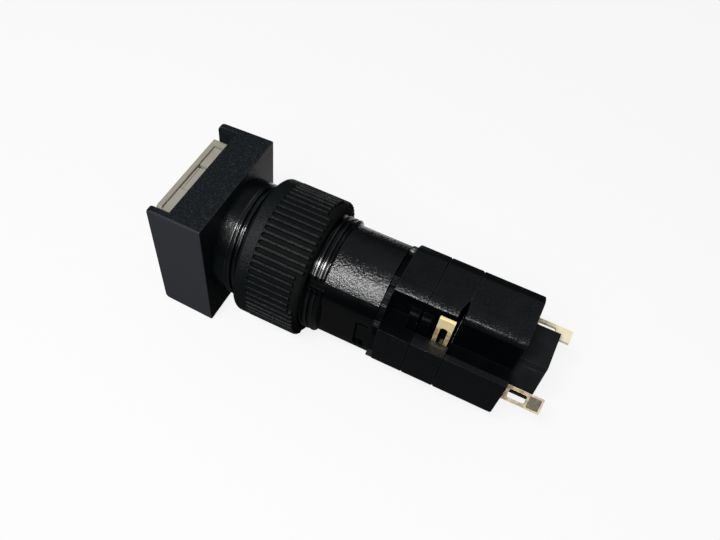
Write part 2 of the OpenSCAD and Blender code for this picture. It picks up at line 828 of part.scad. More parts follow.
// Rear section, with the deep part of the terminal channels.
module contact_block_rear() {
    color(black) difference() {
        block_section(rear_x, block_end);
        channel(rear_x - 1, block_end + 1, channel_lip_rear);
        channel_edges(rear_x - 1, block_end + 1, rear_edge_r);
        bar(rear_x - 1, far + 20, post_r + 0.05);
        lamp_block_space();
        for (turn = [0, 180])
            round_axis(turn) lead_strip(arm_gap);
        rear_tab_slot(0);
        rear_tab_slot(1);
    }
}

// Section of the lamp block across the axis: the same after half a turn.
module lamp_outline(grow = 0) {
    half = [[lamp_block_far, lamp_block_top], [-lamp_block_near, lamp_block_top],
        [-lamp_block_near - 0.3 * lamp_block_step, lamp_block_top - lamp_block_step],
        [-lamp_block_side, -0.5 * lamp_block_top]];
    polygon([for (k = [1, -1], p = half) [k * (p[0] + sign(p[0]) * grow), k * (p[1] + sign(p[1]) * grow)]]);
}

// Room for the lamp block in the back of the rear section.
module lamp_block_space() {
    axial(lamp_block_x) linear_extrude(height = far) lamp_outline(0.04);
}

// Lamp block, which closes the back and carries the lamp leads.
module lamp_block() {
    color(black) difference() {
        axial(lamp_block_x + 0.02) linear_extrude(height = lamp_block_end - lamp_block_x - 0.02) lamp_outline();
        for (turn = [0, 180])
            round_axis(turn) lead_strip(arm_gap);
    }
}

// A flat tab along +X with a wire slot, centred on the axis.
module tab(root, len, w, slot_len, slot_w, slot_r, tip) {
    translate([0, 0, -tab_t / 2]) linear_extrude(height = tab_t) difference() {
        translate([-root, -w / 2]) square([root + len, w]);
        translate([len - tip - slot_len / 2, 0]) round_rect(slot_len, slot_w, slot_r);
    }
}

// Places a rear tab: 0 is the upper one, 1 the lower one, which leans.
module at_rear_tab(which) {
    side = which == 0 ? 1 : -1;
    translate([block_end, side * rear_tab_y, side * rear_tab_z])
        rotate([which == 0 ? 0 : lower_tab_lean, 0, 0]) children();
}

// Slot that holds the root of a rear tab.
module rear_tab_slot(which) {
    at_rear_tab(which)
        box([-tab_root - 0.02, -tab_w / 2 - 0.02, -tab_t / 2 - 0.02],
            [far, tab_w / 2 + 0.02, tab_t / 2 + 0.02]);
}

module rear_tab() {
    tab(tab_root, tab_len, tab_w, tab_slot_len, tab_slot_w, tab_slot_r, tab_tip);
}

module lamp_terminal_upper() {
    color(brass) at_rear_tab(0) rear_tab();
}

module lamp_terminal_lower() {
    color(brass) at_rear_tab(1) rear_tab();
}

// Contact arm of a side terminal: from the tab to the tip over the bore.
module arm_shape(grow) {
    box([arm_x - grow, -side_tab_y - grow, channel_floor - 0.9 - grow],
        [arm_x + arm_t + grow, -1.2, channel_floor + grow]);
}

module arm_slot() {
    arm_shape(0.02);
}

// Side terminal: a tab that stands in the channel, and its contact arm.
module side_terminal() {
    height = side_tab_top - side_tab_root;
    color(brass) {
        translate([side_tab_x + side_tab_w / 2, -side_tab_y, side_tab_root])
            rotate([0, -90, 90])
                tab(0, height, side_tab_w, height - side_tip - side_slot_root, side_slot_w, side_slot_r, side_tip);
        difference() {
            arm_shape(0);
            bar(0, far + 20, stem_r + 0.1);
        }
    }
}

module side_terminal_near() {
    side_terminal();
}

module side_terminal_far() {
    round_axis(180) side_terminal();
}

// Contact tips, one on each side of the bore.
module tips(x) {
    for (turn = [0, 180])
        round_axis(turn + 62)
            translate([x, 0, tip_r]) rotate([0, 90, 0]) cylinder(h = tip_h, r = tip_d / 2, $fn = 32);
}

module fixed_contact_tips() {
    color(silver) tips(arm_x - tip_h);
}

module moving_contact_tips() {
    color(silver) tips(bridge_x + bridge_t);
}

// Carrier: a flange that the plunger pushes, on a hollow stem.
module contact_carrier() {
    color(white) difference() {
        union() {
            bar(carrier_x, carrier_x + carrier_flange_t, carrier_flange_d / 2);
            bar(carrier_x, bridge_x - 0.02, stem_r);
            bar(carrier_x, bridge_x + bridge_t + 0.02, bridge_hole_r - 0.02);
            bar(bridge_x + bridge_t + 0.02, bridge_x + bridge_t + head_t, bridge_hole_r + 0.15);
        }
        bar(0, far, stem_bore_d / 2);
    }
}

module contact_spring() {
    color(steel)
        coil(carrier_x + carrier_flange_t + 0.03, bridge_x - 0.03, contact_spring_d, contact_wire,
            contact_turns, 6, 20);
}

// Moving contact: a ring that bridges the two fixed contacts.
module contact_bridge() {
    color(brass) tube(bridge_x, bridge_x + bridge_t, bridge_d / 2, bridge_hole_r);
}

housing();
locking_nut();
lens_cover();
marking_plate();
diffuser_plate();
button_frame();
plunger();
return_spring();
led_lamp();
lamp_holder();
lamp_lead_upper();
lamp_lead_lower();
coupling_collar();
contact_block_front();
contact_block_middle();
contact_block_rear();
lamp_block();
lamp_terminal_upper();
lamp_terminal_lower();
side_terminal_near();
side_terminal_far();
fixed_contact_tips();
contact_carrier();
contact_spring();
contact_bridge();
moving_contact_tips();
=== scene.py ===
"""Looks of the illuminated push button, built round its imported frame. Lengths are given in millimetres."""

import math

import bmesh
import bpy
import numpy as np
from mathutils import Matrix, Vector


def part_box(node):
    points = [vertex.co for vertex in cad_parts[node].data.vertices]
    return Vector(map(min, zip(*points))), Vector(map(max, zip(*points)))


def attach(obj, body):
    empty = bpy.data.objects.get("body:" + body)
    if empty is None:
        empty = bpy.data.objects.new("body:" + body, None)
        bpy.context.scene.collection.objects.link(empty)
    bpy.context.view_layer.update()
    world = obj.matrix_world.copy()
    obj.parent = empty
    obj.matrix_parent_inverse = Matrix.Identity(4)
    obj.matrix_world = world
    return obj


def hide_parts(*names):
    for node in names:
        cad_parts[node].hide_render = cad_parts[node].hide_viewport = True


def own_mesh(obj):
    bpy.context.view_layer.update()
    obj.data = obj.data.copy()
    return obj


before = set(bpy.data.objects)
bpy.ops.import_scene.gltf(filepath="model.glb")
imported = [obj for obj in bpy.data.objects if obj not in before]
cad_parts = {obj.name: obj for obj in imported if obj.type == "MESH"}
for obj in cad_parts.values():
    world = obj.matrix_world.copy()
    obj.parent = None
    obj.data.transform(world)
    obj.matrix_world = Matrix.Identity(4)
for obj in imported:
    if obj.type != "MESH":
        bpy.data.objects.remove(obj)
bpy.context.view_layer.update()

MM = 0.001

# Camera, as found from the photograph's perspective
IMAGE_W, IMAGE_H = 720, 540
FOCAL_PX = 648.32
CENTRE_PX = (311.76, 370.0)
CAMERA_AT = (32.948, -50.538, 68.788)
CAMERA_RIGHT = (0.887984, 0.457027, 0.051094)
CAMERA_DOWN = (0.420941, -0.763036, -0.490494)
CAMERA_AHEAD = (-0.185182, 0.457058, -0.869946)

# Bezel and button
BEZEL_HALF = 9.15
BEZEL_DEPTH = 7.85
RIM_DEPTH = 4.95
GUARD = 1.0
GUARD_NOSE = 0.7
BEZEL_DRAFT = 0.16
LONG_EDGE = 0.3
BACK_WALL = 0.8
POCKET = (7.3, 8.0)
LENS_HALF = (7.05, 7.75)
LENS_FACE = -7.75
LENS_LEN = 3.65
LENS_SKIN = 0.7
WINDOW_Y = (-6.93, 5.7)
DIFFUSER_EARS = ((-6.91, -2.77), (2.02, 5.66))

# Neck, thread and barrel
NECK_R = 7.87
NECK_LEN = 2.0
PITCH = 0.75
THREAD_DEPTH = 0.42
THREAD_END = 15.2
BARREL_R = 7.4
BARREL_END = 22.5
BARREL_FLAT = 6.45
KEYWAY_ANGLE = 52.0
KEYWAY_HALF = 0.6
KEYWAY_R = 6.95
KEYWAY_X = 9.0
# Half of the keyway's angle, and the angle up to which it opens to the barrel's flat behind the thread
KEYWAY_EDGE = math.degrees(math.asin(KEYWAY_HALF / 7.6))
KEYWAY_MOUTH = 70.0
# Height of the thread over half its pitch, from the middle of a crest
THREAD_CREST = ((0.32, 0.44, 0.62, 0.84), (1.0, 0.84, 0.25, 0.0))
# Stretch of the thread that is inside the nut at rest, and needs fewer rows
UNDER_NUT = (5.0, 11.4)
# Long groove of the barrel: its corners when on top, and the angle it is turned by
BARREL_GROOVE = ((15.9, -0.22, 7.2), (20.8, 0.22, 8.0))
GROOVE_TURN = -32.0
SPRING_BORE_R = 6.38
GUIDE_R = 5.08
REAR_BORE_R = 5.4
LEDGE_X = 8.0
GUIDE_END = 12.0
LATCH_X = (20.3, 22.0)
LATCH_Z = (-3.2, 1.7)
ARM_SLOT_Z = (-2.9, 1.05)

# Coupling collar: pads by their first and last angle, and the pitch and depth of their ridges
COLLAR_X = (22.55, 23.35)
COLLAR_R = 6.9
COLLAR_BORE_R = 5.2
PAD_R = 7.5
PADS = ((13, 24), (30, 46), (60, 67), (-52, -40), (-34, -26))
PAD_RIDGE = (0.34, 0.25)
STOP_ANGLE = 121.0
STOP_R = 7.9

# Locking nut
NUT_X = 4.05
NUT_END = 13.1
NUT_R = 9.45
NUT_BORE_R = 7.93
COLLAR_END = 5.9
RIB_DEPTH = 0.46
RIB_COUNT = 60
SHORT_RIB_END = 12.0
LONG_RIB_END = 12.85
LONG_RIB_CENTRE = 21.0
LONG_RIB_ANGLE = 50.0
NUT_FRONT_ROUND = 0.5
NUT_BACK_ROUND = 0.76
# A small moulded nub between two groups of ribs: its place along and round, and its half sizes
NUB_AT = (12.35, 83.0)
NUB_HALF = (0.45, 0.5)

# Contact block: its flat top, and where the crown of a lobe starts across it, with its radius
BLOCK_TOP = 7.352
CROWN = (-1.9, 3.3)
REAR_CROWN = (-1.6, 4.3)
# Worn rear corner of the middle section and worn front corner of the rear section, seen from above
MIDDLE_CORNER = ((31.95, -0.9), (31.52, -2.5), (31.5, -4), (32.2, -4), (32.2, -0.9))
REAR_CORNER = ((32.1, -0.9), (32.28, -2.4), (32.32, -4), (31.8, -4), (31.8, -0.9))
CORNER_Z = (3.4, 9)
# Round of the clip lugs: where it starts, its top and radius, and the stretch that holds the lugs
LUG_ROUND = (-4.05, 5.3, 0.6)
LUG_X = (25, 29.6)
# Ejector mark on top
MARK_AT = (35.3, 0.65)
MARK_R = 1.55
# Tongue in the joint before the rear section: the angles of its round outer edge and its stretch
TONGUE_TURNS = (23.5, 30, 37, 45, 53, 60, 66.5)
TONGUE_R = 7.85
TONGUE_X = (31.99, 32.3)
# Groove along the lamp block's top: two corners
LAMP_GROOVE = ((40.3, -2.6, 1.56), (44, -1.93, 1.7))

# Side terminals: corners of the added foot, the wire slot and a worn nick, on the near one
SIDE_FOOT = ((29.67, -4.57, 0.75), (31.65, -4.13, 1.05))
SIDE_SLOT = ((30.2, -5.2, 1.05), (31.12, -3.3, 4.0))
SIDE_NICK = ((31.5, -4.8, 6.62), (31.8, -4.4, 6.9))
# Nearer to the axis than this a side terminal is its dull inner arm
SIDE_ARM_Y = 4.12

# Rear terminals: place of the tab's foot and its lean, its length and half thickness, and the coined field
TAB_FEET = {"upper": ((40.01, 4.95, 1.05), 0.0), "lower": ((40.01, -4.95, -1.05), 35.0)}
TAB_LEN = 5.15
TAB_HALF_T = 0.225
COIN_X = (TAB_LEN - 1.78, TAB_LEN - 0.26)
COIN_HALF = 0.76

# Springs: first and last place, radius to the middle of the wire, radius of the wire, turns.
# The contact spring's places come from the CAD.
RETURN_COIL = (-2.56, 7.96, 5.65, 0.3, 6)
CONTACT_COIL = (3.0, 0.16, 5)

# Light: the background as seen, the fill, and what glossy surfaces find round the object
BACKGROUND = 0.97
FILL = 0.36
BACKDROP = 0.93
DIM = 0.012
SOFTBOX = 0.5
LOW_SKY = 0.02
HIGH_SKY = 0.13
SOFTBOX_TOWARDS = (0.45, 0.52, 0.72)
# Floor: half its side, its height, and its tones as seen, behind the object, before it and beside it
FLOOR_HALF = 900.0
FLOOR_Z = -9.46
FLOOR_SEEN = 0.8
# The tone behind is a painted pale patch, those before and beside are painted shadow
FLOOR_BEHIND = 0.62
FLOOR_BEFORE = 0.05
FLOOR_BESIDE = 0.012
FLOOR_GLOW = 0.86
# Lamps: name, place, width and height, watts
LAMPS = (
    ("key", (-15, -150, 260), (130, 46), 0.72),
    ("side_panel", (-15, -216, 208), (130, 96), 0.22),
)
LAMPS_TOWARDS = (15, 0, 0)


# Meshes


def piece(name, mesh, body, slot_name, node, materials):
    """Adds a mesh as a named piece with its materials, which rides on a body and stands for a CAD node."""
    thing = bpy.data.objects.new(name, mesh)
    bpy.context.scene.collection.objects.link(thing)
    last = len(materials) - 1
    places = [min(face.material_index, last) for face in mesh.polygons]
    mesh.materials.clear()
    for material in materials:
        mesh.materials.append(material)
    mesh.polygons.foreach_set("material_index", places)
    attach(thing, body)
    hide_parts(node)
    return thing


def mesh_from(name, points, faces):
    """A mesh from points in millimetres, its faces turned outwards."""
    mesh = bpy.data.meshes.new(name)
    mesh.from_pydata([tuple(MM * c for c in p) for p in points], [], faces)
    work = bmesh.new()
    work.from_mesh(mesh)
    bmesh.ops.recalc_face_normals(work, faces=work.faces)
    work.to_mesh(mesh)
    work.free()
    return mesh


def smooth(mesh, angle=35.0):
    """Smooth shading, with edges sharper than the angle kept crisp."""
    mesh.polygons.foreach_set("use_smooth", [True] * len(mesh.polygons))
    mesh.set_sharp_from_angle(angle=math.radians(angle))
    mesh.update()


def baked(mesh, *modifiers):
    """The mesh with modifiers applied: each is a type and a dict of its settings."""
    temp = bpy.data.objects.new("temp", mesh)
    bpy.context.scene.collection.objects.link(temp)
    for kind, settings in modifiers:
        modifier = temp.modifiers.new(kind.lower(), kind)
        for key, value in settings.items():
            setattr(modifier, key, value)
    graph = bpy.context.evaluated_depsgraph_get()
    made = bpy.data.meshes.new_from_object(temp.evaluated_get(graph))
    bpy.data.objects.remove(temp)
    return made


def prism(outline, low, high, axis=0):
    """A solid drawn across an axis and pulled along it, in millimetres."""
    n = len(outline)
    points = []
    for along in (low, high):
        for a, b in outline:
            place = [a, b]
            place.insert(axis, along)
            points.append(tuple(place))
    faces = [tuple(range(n)), tuple(range(2 * n - 1, n - 1, -1))]
    faces += [(i, (i + 1) % n, n + (i + 1) % n, n + i) for i in range(n)]
    return mesh_from("prism", points, faces)


def slab(low, high):
    """A box between two corners."""
    outline = [(low[1], low[2]), (high[1], low[2]), (high[1], high[2]), (low[1], high[2])]
    return prism(outline, low[0], high[0])


def rod(low, high, radius, steps=96, centre=(0.0, 0.0), axis=0):
    """A round bar along an axis."""
    turn = [2 * math.pi * i / steps for i in range(steps)]
    outline = [(centre[0] + radius * math.sin(a), centre[1] + radius * math.cos(a)) for a in turn]
    return prism(outline, low, high, axis)


def carve(mesh, *cutters, union=False):
    """The mesh with the cutters taken away, or joined to it."""
    for cutter in cutters:
        tool = bpy.data.objects.new("cutter", cutter)
        bpy.context.scene.collection.objects.link(tool)
        operation = "UNION" if union else "DIFFERENCE"
        mesh = baked(mesh, ("BOOLEAN", {"operation": operation, "solver": "EXACT", "object": tool}))
        bpy.data.objects.remove(tool)
    return mesh


def shaded(mesh):
    """Smooth shading in which the large faces keep their own normals."""
    smooth(mesh)
    return baked(mesh, ("WEIGHTED_NORMAL", {"weight": 100, "keep_sharp": True}))


def bevelled(mesh, width, angle=30.0):
    """Breaks the edges of a solid that are sharper than the angle with a small round."""
    work = bmesh.new()
    work.from_mesh(mesh)
    bmesh.ops.remove_doubles(work, verts=work.verts, dist=2e-7)
    bmesh.ops.dissolve_limit(work, angle_limit=0.008, verts=work.verts, edges=work.edges)
    work.to_mesh(mesh)
    work.free()
    settings = {
        "width": width * MM,
        "segments": 3,
        "limit_method": "ANGLE",
        "angle_limit": math.radians(angle),
        "use_clamp_overlap": True,
    }
    return baked(mesh, ("BEVEL", settings))


def eased(mesh, width, angle=30.0):
    """A solid with broken edges, shaded smoothly."""
    return shaded(bevelled(mesh, width, angle))


def softened_copy(node, width):
    """A copy of a CAD node's solid with its edges broken."""
    return eased(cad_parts[node].data.copy(), width)


def rounded_edges(mesh, radius, chosen):
    """Rounds the edges that the test picks from the places of their ends in millimetres."""
    work = bmesh.new()
    work.from_mesh(mesh)
    edges = [e for e in work.edges if chosen(*(v.co / MM for v in e.verts))]
    bmesh.ops.bevel(work, geom=edges, offset=radius * MM, segments=5, affect="EDGES", profile=0.5)
    work.to_mesh(mesh)
    work.free()


def mark_faces(mesh, place_of):
    """Gives each face the number of its material, from its centre in millimetres and its normal."""
    for face in mesh.polygons:
        face.material_index = int(place_of(face.center / MM, face.normal))
    return mesh


def turn_of(at):
    """The angle of a point round the axis, in degrees from +Z towards -Y."""
    return math.degrees(math.atan2(-at.y, at.z))


def turned_twin(mesh):
    """The mesh turned by half a turn round the axis, as a new mesh."""
    twin = mesh.copy()
    twin.transform(Matrix.Rotation(math.pi, 4, "X"))
    return twin


def sleeve(name, rows, angles):
    """A closed ring of skin: rows hold (x, radius or radii) from outside front round to inside front."""
    count = len(angles)
    sines, cosines = np.sin(angles), np.cos(angles)
    points = []
    for x, radius in rows:
        r = np.broadcast_to(radius, (count,))
        points.extend(zip([x] * count, -r * sines, r * cosines))
    faces = []
    total = len(rows)
    for i in range(total):
        j = (i + 1) % total
        for k in range(count):
            m = (k + 1) % count
            faces.append((i * count + k, i * count + m, j * count + m, j * count + k))
    return mesh_from(name, points, faces)


def step_up(value, low, high):
    """0 below low, 1 above high, and a smooth rise between."""
    t = np.clip((np.asarray(value, float) - low) / (high - low), 0, 1)
    return t * t * (3 - 2 * t)


# Pieces


def bezel_mesh():
    """Square bezel with a guard on each side: drawn from the side, then cut."""
    nose = []
    for i in range(9):
        a = math.radians(90 * i / 8)
        back, in_by = GUARD_NOSE * (1 - math.sin(a)), GUARD_NOSE * (1 - math.cos(a))
        nose.append((-BEZEL_DEPTH + back, BEZEL_HALF - in_by))
    side = [(0, BEZEL_HALF)] + nose
    side += [(x, -z) for x, z in reversed(side)]
    mesh = prism(side, -BEZEL_HALF, BEZEL_HALF, axis=1)

    def long_edge(a, b):
        on_side = all(abs(abs(end.y) - BEZEL_HALF) < 1e-3 for end in (a, b))
        return on_side and abs(a.y - b.y) < 1e-4 and not all(abs(end.x) < 1e-4 for end in (a, b))

    # The long edges get their larger round before the cuts
    rounded_edges(mesh, LONG_EDGE, long_edge)
    gap = slab((-20, GUARD - BEZEL_HALF, -20), (-RIM_DEPTH, BEZEL_HALF - GUARD, 20))
    pocket = slab((-20, -POCKET[0], -POCKET[1]), (-BACK_WALL, POCKET[0], POCKET[1]))
    hole = rod(-20, 20, SPRING_BORE_R)
    mesh = carve(mesh, gap, pocket, hole)
    mesh = eased(mesh, 0.12, 40)
    # The sides draw in a little towards the front
    for v in mesh.vertices:
        share = 1 + v.co.x / MM / BEZEL_DEPTH * BEZEL_DRAFT / BEZEL_HALF
        v.co.y *= share
        v.co.z *= share
    return mesh


def keyed_angles(steps):
    """Angles round the axis, closer together at the walls of the keyway."""
    near = [KEYWAY_ANGLE + s * (KEYWAY_EDGE + d) for s in (-1, 1) for d in (-0.35, -0.1, 0.1, 0.35)]
    base = [a for a in np.arange(0, 360, 360 / steps) if min(abs(a - b) for b in near) > 0.3]
    return np.radians(sorted(base + near))


def keyway_share(angles):
    """1 inside the keyway and 0 outside."""
    off = np.abs(np.degrees(angles) - KEYWAY_ANGLE)
    return 1 - step_up(off, KEYWAY_EDGE - 0.12, KEYWAY_EDGE + 0.12)


def threaded_neck_mesh():
    """Smooth neck and a true helical thread, with the keyway cut along it."""
    angles = keyed_angles(220)
    key = keyway_share(angles)
    rows = [(-0.3, NECK_R - 0.02), (0.02, NECK_R)]
    hidden, shown = UNDER_NUT
    xs = list(np.linspace(0.2, 1.9, 5)) + list(np.arange(NECK_LEN, hidden, PITCH / 20))
    xs += list(np.arange(hidden, shown, PITCH / 10)) + list(np.arange(shown, THREAD_END - 0.01, PITCH / 20))
    for x in xs:
        turn = (x - NECK_LEN) / PITCH - angles / (2 * math.pi)
        crest = np.interp(2 * np.abs(turn % 1.0 - 0.5), *THREAD_CREST)
        cut = step_up(x, NECK_LEN, NECK_LEN + 0.5)
        radius = NECK_R - THREAD_DEPTH * (1 - crest) * cut
        fall = step_up(x, THREAD_END - 0.3, THREAD_END)
        radius = radius * (1 - fall) + np.minimum(radius, BARREL_R) * fall
        groove = key * float(step_up(x, KEYWAY_X - 0.1, KEYWAY_X + 0.1))
        rows.append((x, radius * (1 - groove) + KEYWAY_R * groove))
    rows.append((THREAD_END, BARREL_R * (1 - key) + KEYWAY_R * key))
    bore = REAR_BORE_R + 0.02
    rows += [(THREAD_END + 0.3, BARREL_R - 0.7), (THREAD_END + 0.3, bore), (GUIDE_END, bore)]
    rows += [(GUIDE_END, GUIDE_R), (LEDGE_X, GUIDE_R)]
    rows += [(LEDGE_X, SPRING_BORE_R + 0.02), (-0.3, SPRING_BORE_R + 0.02)]
    mesh = sleeve("threaded_neck", rows, angles)
    smooth(mesh, 50)

    def place_of(at, normal):
        # Faces in the keyway take the recess black, as painted shade
        in_key = at.x > KEYWAY_X - 0.2 and abs(turn_of(at) - KEYWAY_ANGLE) < 8
        return 2 if in_key else at.x < NECK_LEN - 0.05

    return mark_faces(mesh, place_of)


def barrel_outline():
    """Barrel across the axis: round, with two flats, a fine step, and the keyway opening to one flat."""
    outline = []
    for angle in keyed_angles(180):
        s, c = math.sin(angle), math.cos(angle)
        radius = min(BARREL_R, BARREL_FLAT / max(abs(s), 1e-6))
        degrees = (math.degrees(angle) + 180) % 360 - 180
        if -58 < degrees < -34:
            radius = min(radius, BARREL_R - 0.05)
        share = float(keyway_share(np.array([angle]))[0])
        radius = radius * (1 - share) + KEYWAY_R * share
        if KEYWAY_ANGLE < degrees < KEYWAY_MOUTH:
            radius = min(radius, KEYWAY_R)
        outline.append((-radius * s, radius * c))
    return outline


def barrel_mesh():
    """Barrel behind the thread, with the latch windows and the slots of the latch arms."""
    mesh = prism(barrel_outline(), THREAD_END - 0.02, BARREL_END)
    window = slab((LATCH_X[0], -12, LATCH_Z[0]), (LATCH_X[1], -3.4, LATCH_Z[1]))
    slot = slab((LATCH_X[0] + 0.3, -12, ARM_SLOT_Z[0]), (BARREL_END + 1, -3.4, ARM_SLOT_Z[1]))
    bore = rod(THREAD_END - 1, BARREL_END + 1, REAR_BORE_R)
    groove = slab(*BARREL_GROOVE)
    groove.transform(Matrix.Rotation(math.radians(GROOVE_TURN), 4, "X"))
    return eased(carve(mesh, bore, groove, window, slot, turned_twin(window), turned_twin(slot)), 0.07, 35)


def collar_mesh():
    """Coupling collar with ridged grip pads, a stop and the slots of the latch arms."""
    angles = np.radians(np.arange(0, 360, 0.4))
    degrees = (np.degrees(angles) + 180) % 360 - 180
    outer = np.full(len(angles), COLLAR_R)
    ridge_pitch, ridge_depth = PAD_RIDGE
    for low, high in PADS:
        inside = (degrees >= low) & (degrees <= high)
        ridges = max(2, round(math.radians(high - low) * PAD_R / ridge_pitch))
        wave = 0.5 - 0.5 * np.cos(2 * math.pi * ridges * (degrees - low) / (high - low))
        outer = np.where(inside, PAD_R - ridge_depth * (1 - wave), outer)
    outer = np.where(np.abs(degrees - STOP_ANGLE) < 3.8, STOP_R, outer)
    for turn in (0, 180):
        near = (degrees - turn + 180) % 360 - 180
        low, high = (math.degrees(math.acos(z / COLLAR_R)) for z in (ARM_SLOT_Z[1], ARM_SLOT_Z[0]))
        inside = (near > low) & (near < high)
        depth = 5.75 / np.maximum(np.sin(np.radians(near)), 0.2)
        outer = np.where(inside, np.minimum(outer, depth), outer)
    first, last = COLLAR_X
    rows = [(first, outer - 0.06), (first + 0.06, outer), (last - 0.06, outer), (last, outer - 0.06)]
    rows += [(last, COLLAR_BORE_R), (first, COLLAR_BORE_R)]
    mesh = sleeve("collar", rows, angles)
    smooth(mesh, 40)
    # The ring between the pads and the stop take the recess black, as painted shade
    return mark_faces(mesh, lambda at, normal: not any(low < turn_of(at) < high for low, high in PADS))


def crown_cutter(start, radius):
    """Takes the near part of a lobe's flat top down in a slow round towards the channel."""
    outline = [(start, 8.3)]
    for y in np.linspace(start, -3.7, 12):
        outline.append((y, BLOCK_TOP - radius + math.sqrt(radius**2 - (y - start) ** 2)))
    outline.append((-3.7, 8.3))
    return prism(outline, 23, 41)


def lug_cutter():
    """Rounds the upper near edge of the clip lugs in the channel."""
    start, top, radius = LUG_ROUND
    outline = [(start, top + 0.3), (start, top + 0.001)]
    for turn in np.linspace(10, 90, 8):
        a = math.radians(turn)
        outline.append((start - radius * math.sin(a), top - radius + radius * math.cos(a)))
    return prism(outline + [(-4.9, top - radius), (-4.9, top + 0.3)], *LUG_X)


def in_channel(at, normal):
    """True for the floor, ledge and walls of a side channel of the contact block."""
    side = -1 if at.y > 0 else 1
    y, z = side * at.y, side * at.z
    return y < -0.9 and z > 0.5 and math.hypot(y, z) < 7.1 and abs(normal.x) < 0.7


def section_mesh(node, width, early=(), late=()):
    """A section of the contact block, cut on both channels before and after its edges are broken."""
    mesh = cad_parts[node].data.copy()
    for cut in early:
        mesh = carve(mesh, cut, turned_twin(cut))
    mesh = bevelled(mesh, width)
    for cut in late:
        mesh = carve(mesh, cut, turned_twin(cut))
    # The channels' faces take the recess black, as painted shade
    return mark_faces(shaded(mesh), in_channel)


def front_section_mesh():
    """Front section, with crowned lobes and rounded lugs."""
    return section_mesh("contact_block_front", 0.08, [crown_cutter(*CROWN), lug_cutter()])


def middle_section_mesh():
    """Middle section; its upper lobe's rear corner is worn back towards the channel."""
    corner = prism(MIDDLE_CORNER, *CORNER_Z, axis=2)
    return section_mesh("contact_block_middle", 0.08, [crown_cutter(*CROWN), lug_cutter(), corner])


def rear_section_mesh():
    """Rear section: corner set back at the channel, an ejector mark on top, a tongue in its front joint."""
    corner = prism(REAR_CORNER, *CORNER_Z, axis=2)
    mark = rod(BLOCK_TOP - 0.042, 8, MARK_R, 48, MARK_AT, axis=2)
    mesh = section_mesh("contact_block_rear", 0.1, [crown_cutter(*REAR_CROWN), corner], [mark])
    turns = [math.radians(a) for a in TONGUE_TURNS]
    outline = [(-0.7, 5.1), (-0.7, 7.2)] + [(TONGUE_R * math.sin(a), TONGUE_R * math.cos(a)) for a in turns]
    outline += [(7.2, 2.0), (5.1, 2.0), (5.1, 5.1)]
    tongue = prism(outline, *TONGUE_X)
    # The channels' faces take the recess black, as painted shade
    return mark_faces(shaded(carve(mesh, tongue, turned_twin(tongue), union=True)), in_channel)


def lamp_cap_mesh():
    """Lamp block with a fine groove along the top of its sloping sides."""
    return section_mesh("lamp_block", 0.06, [], [slab(*LAMP_GROOVE)])


def side_tab_mesh(far):
    """A side terminal whose wire slot runs down to its foot, so that it stands on two legs."""
    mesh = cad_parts["side_terminal_far" if far else "side_terminal_near"].data.copy()
    foot, slot, nick = (slab(*corners) for corners in (SIDE_FOOT, SIDE_SLOT, SIDE_NICK))
    if far:
        foot, slot, nick = (turned_twin(cut) for cut in (foot, slot, nick))
    mesh = carve(carve(mesh, foot, union=True), slot, nick)
    return mark_faces(eased(mesh, 0.06), lambda at, normal: abs(at.y) < SIDE_ARM_Y)


def rear_tab_mesh(which):
    """A rear terminal with a dull coined field on the inner face of its tip."""
    at, lean = TAB_FEET[which]
    mesh = bevelled(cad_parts["lamp_terminal_" + which].data.copy(), 0.06)
    place = Matrix.Translation(Vector(at) * MM) @ Matrix.Rotation(math.radians(lean), 4, "X")
    side = 1 if which == "lower" else -1
    low, high = sorted((side * (TAB_HALF_T - 0.05), side * 1.0))
    field = slab((COIN_X[0], -COIN_HALF, low), (COIN_X[1], COIN_HALF, high))
    field.transform(place)
    mesh = shaded(carve(mesh, field))
    back = place.inverted()

    def in_field(at, normal):
        x, y, z = (back @ (at * MM)) / MM
        along = COIN_X[0] - 0.02 < x < COIN_X[1] + 0.02
        return along and abs(y) < COIN_HALF + 0.02 and 0 < side * z < TAB_HALF_T - 0.02

    return mark_faces(mesh, in_field)


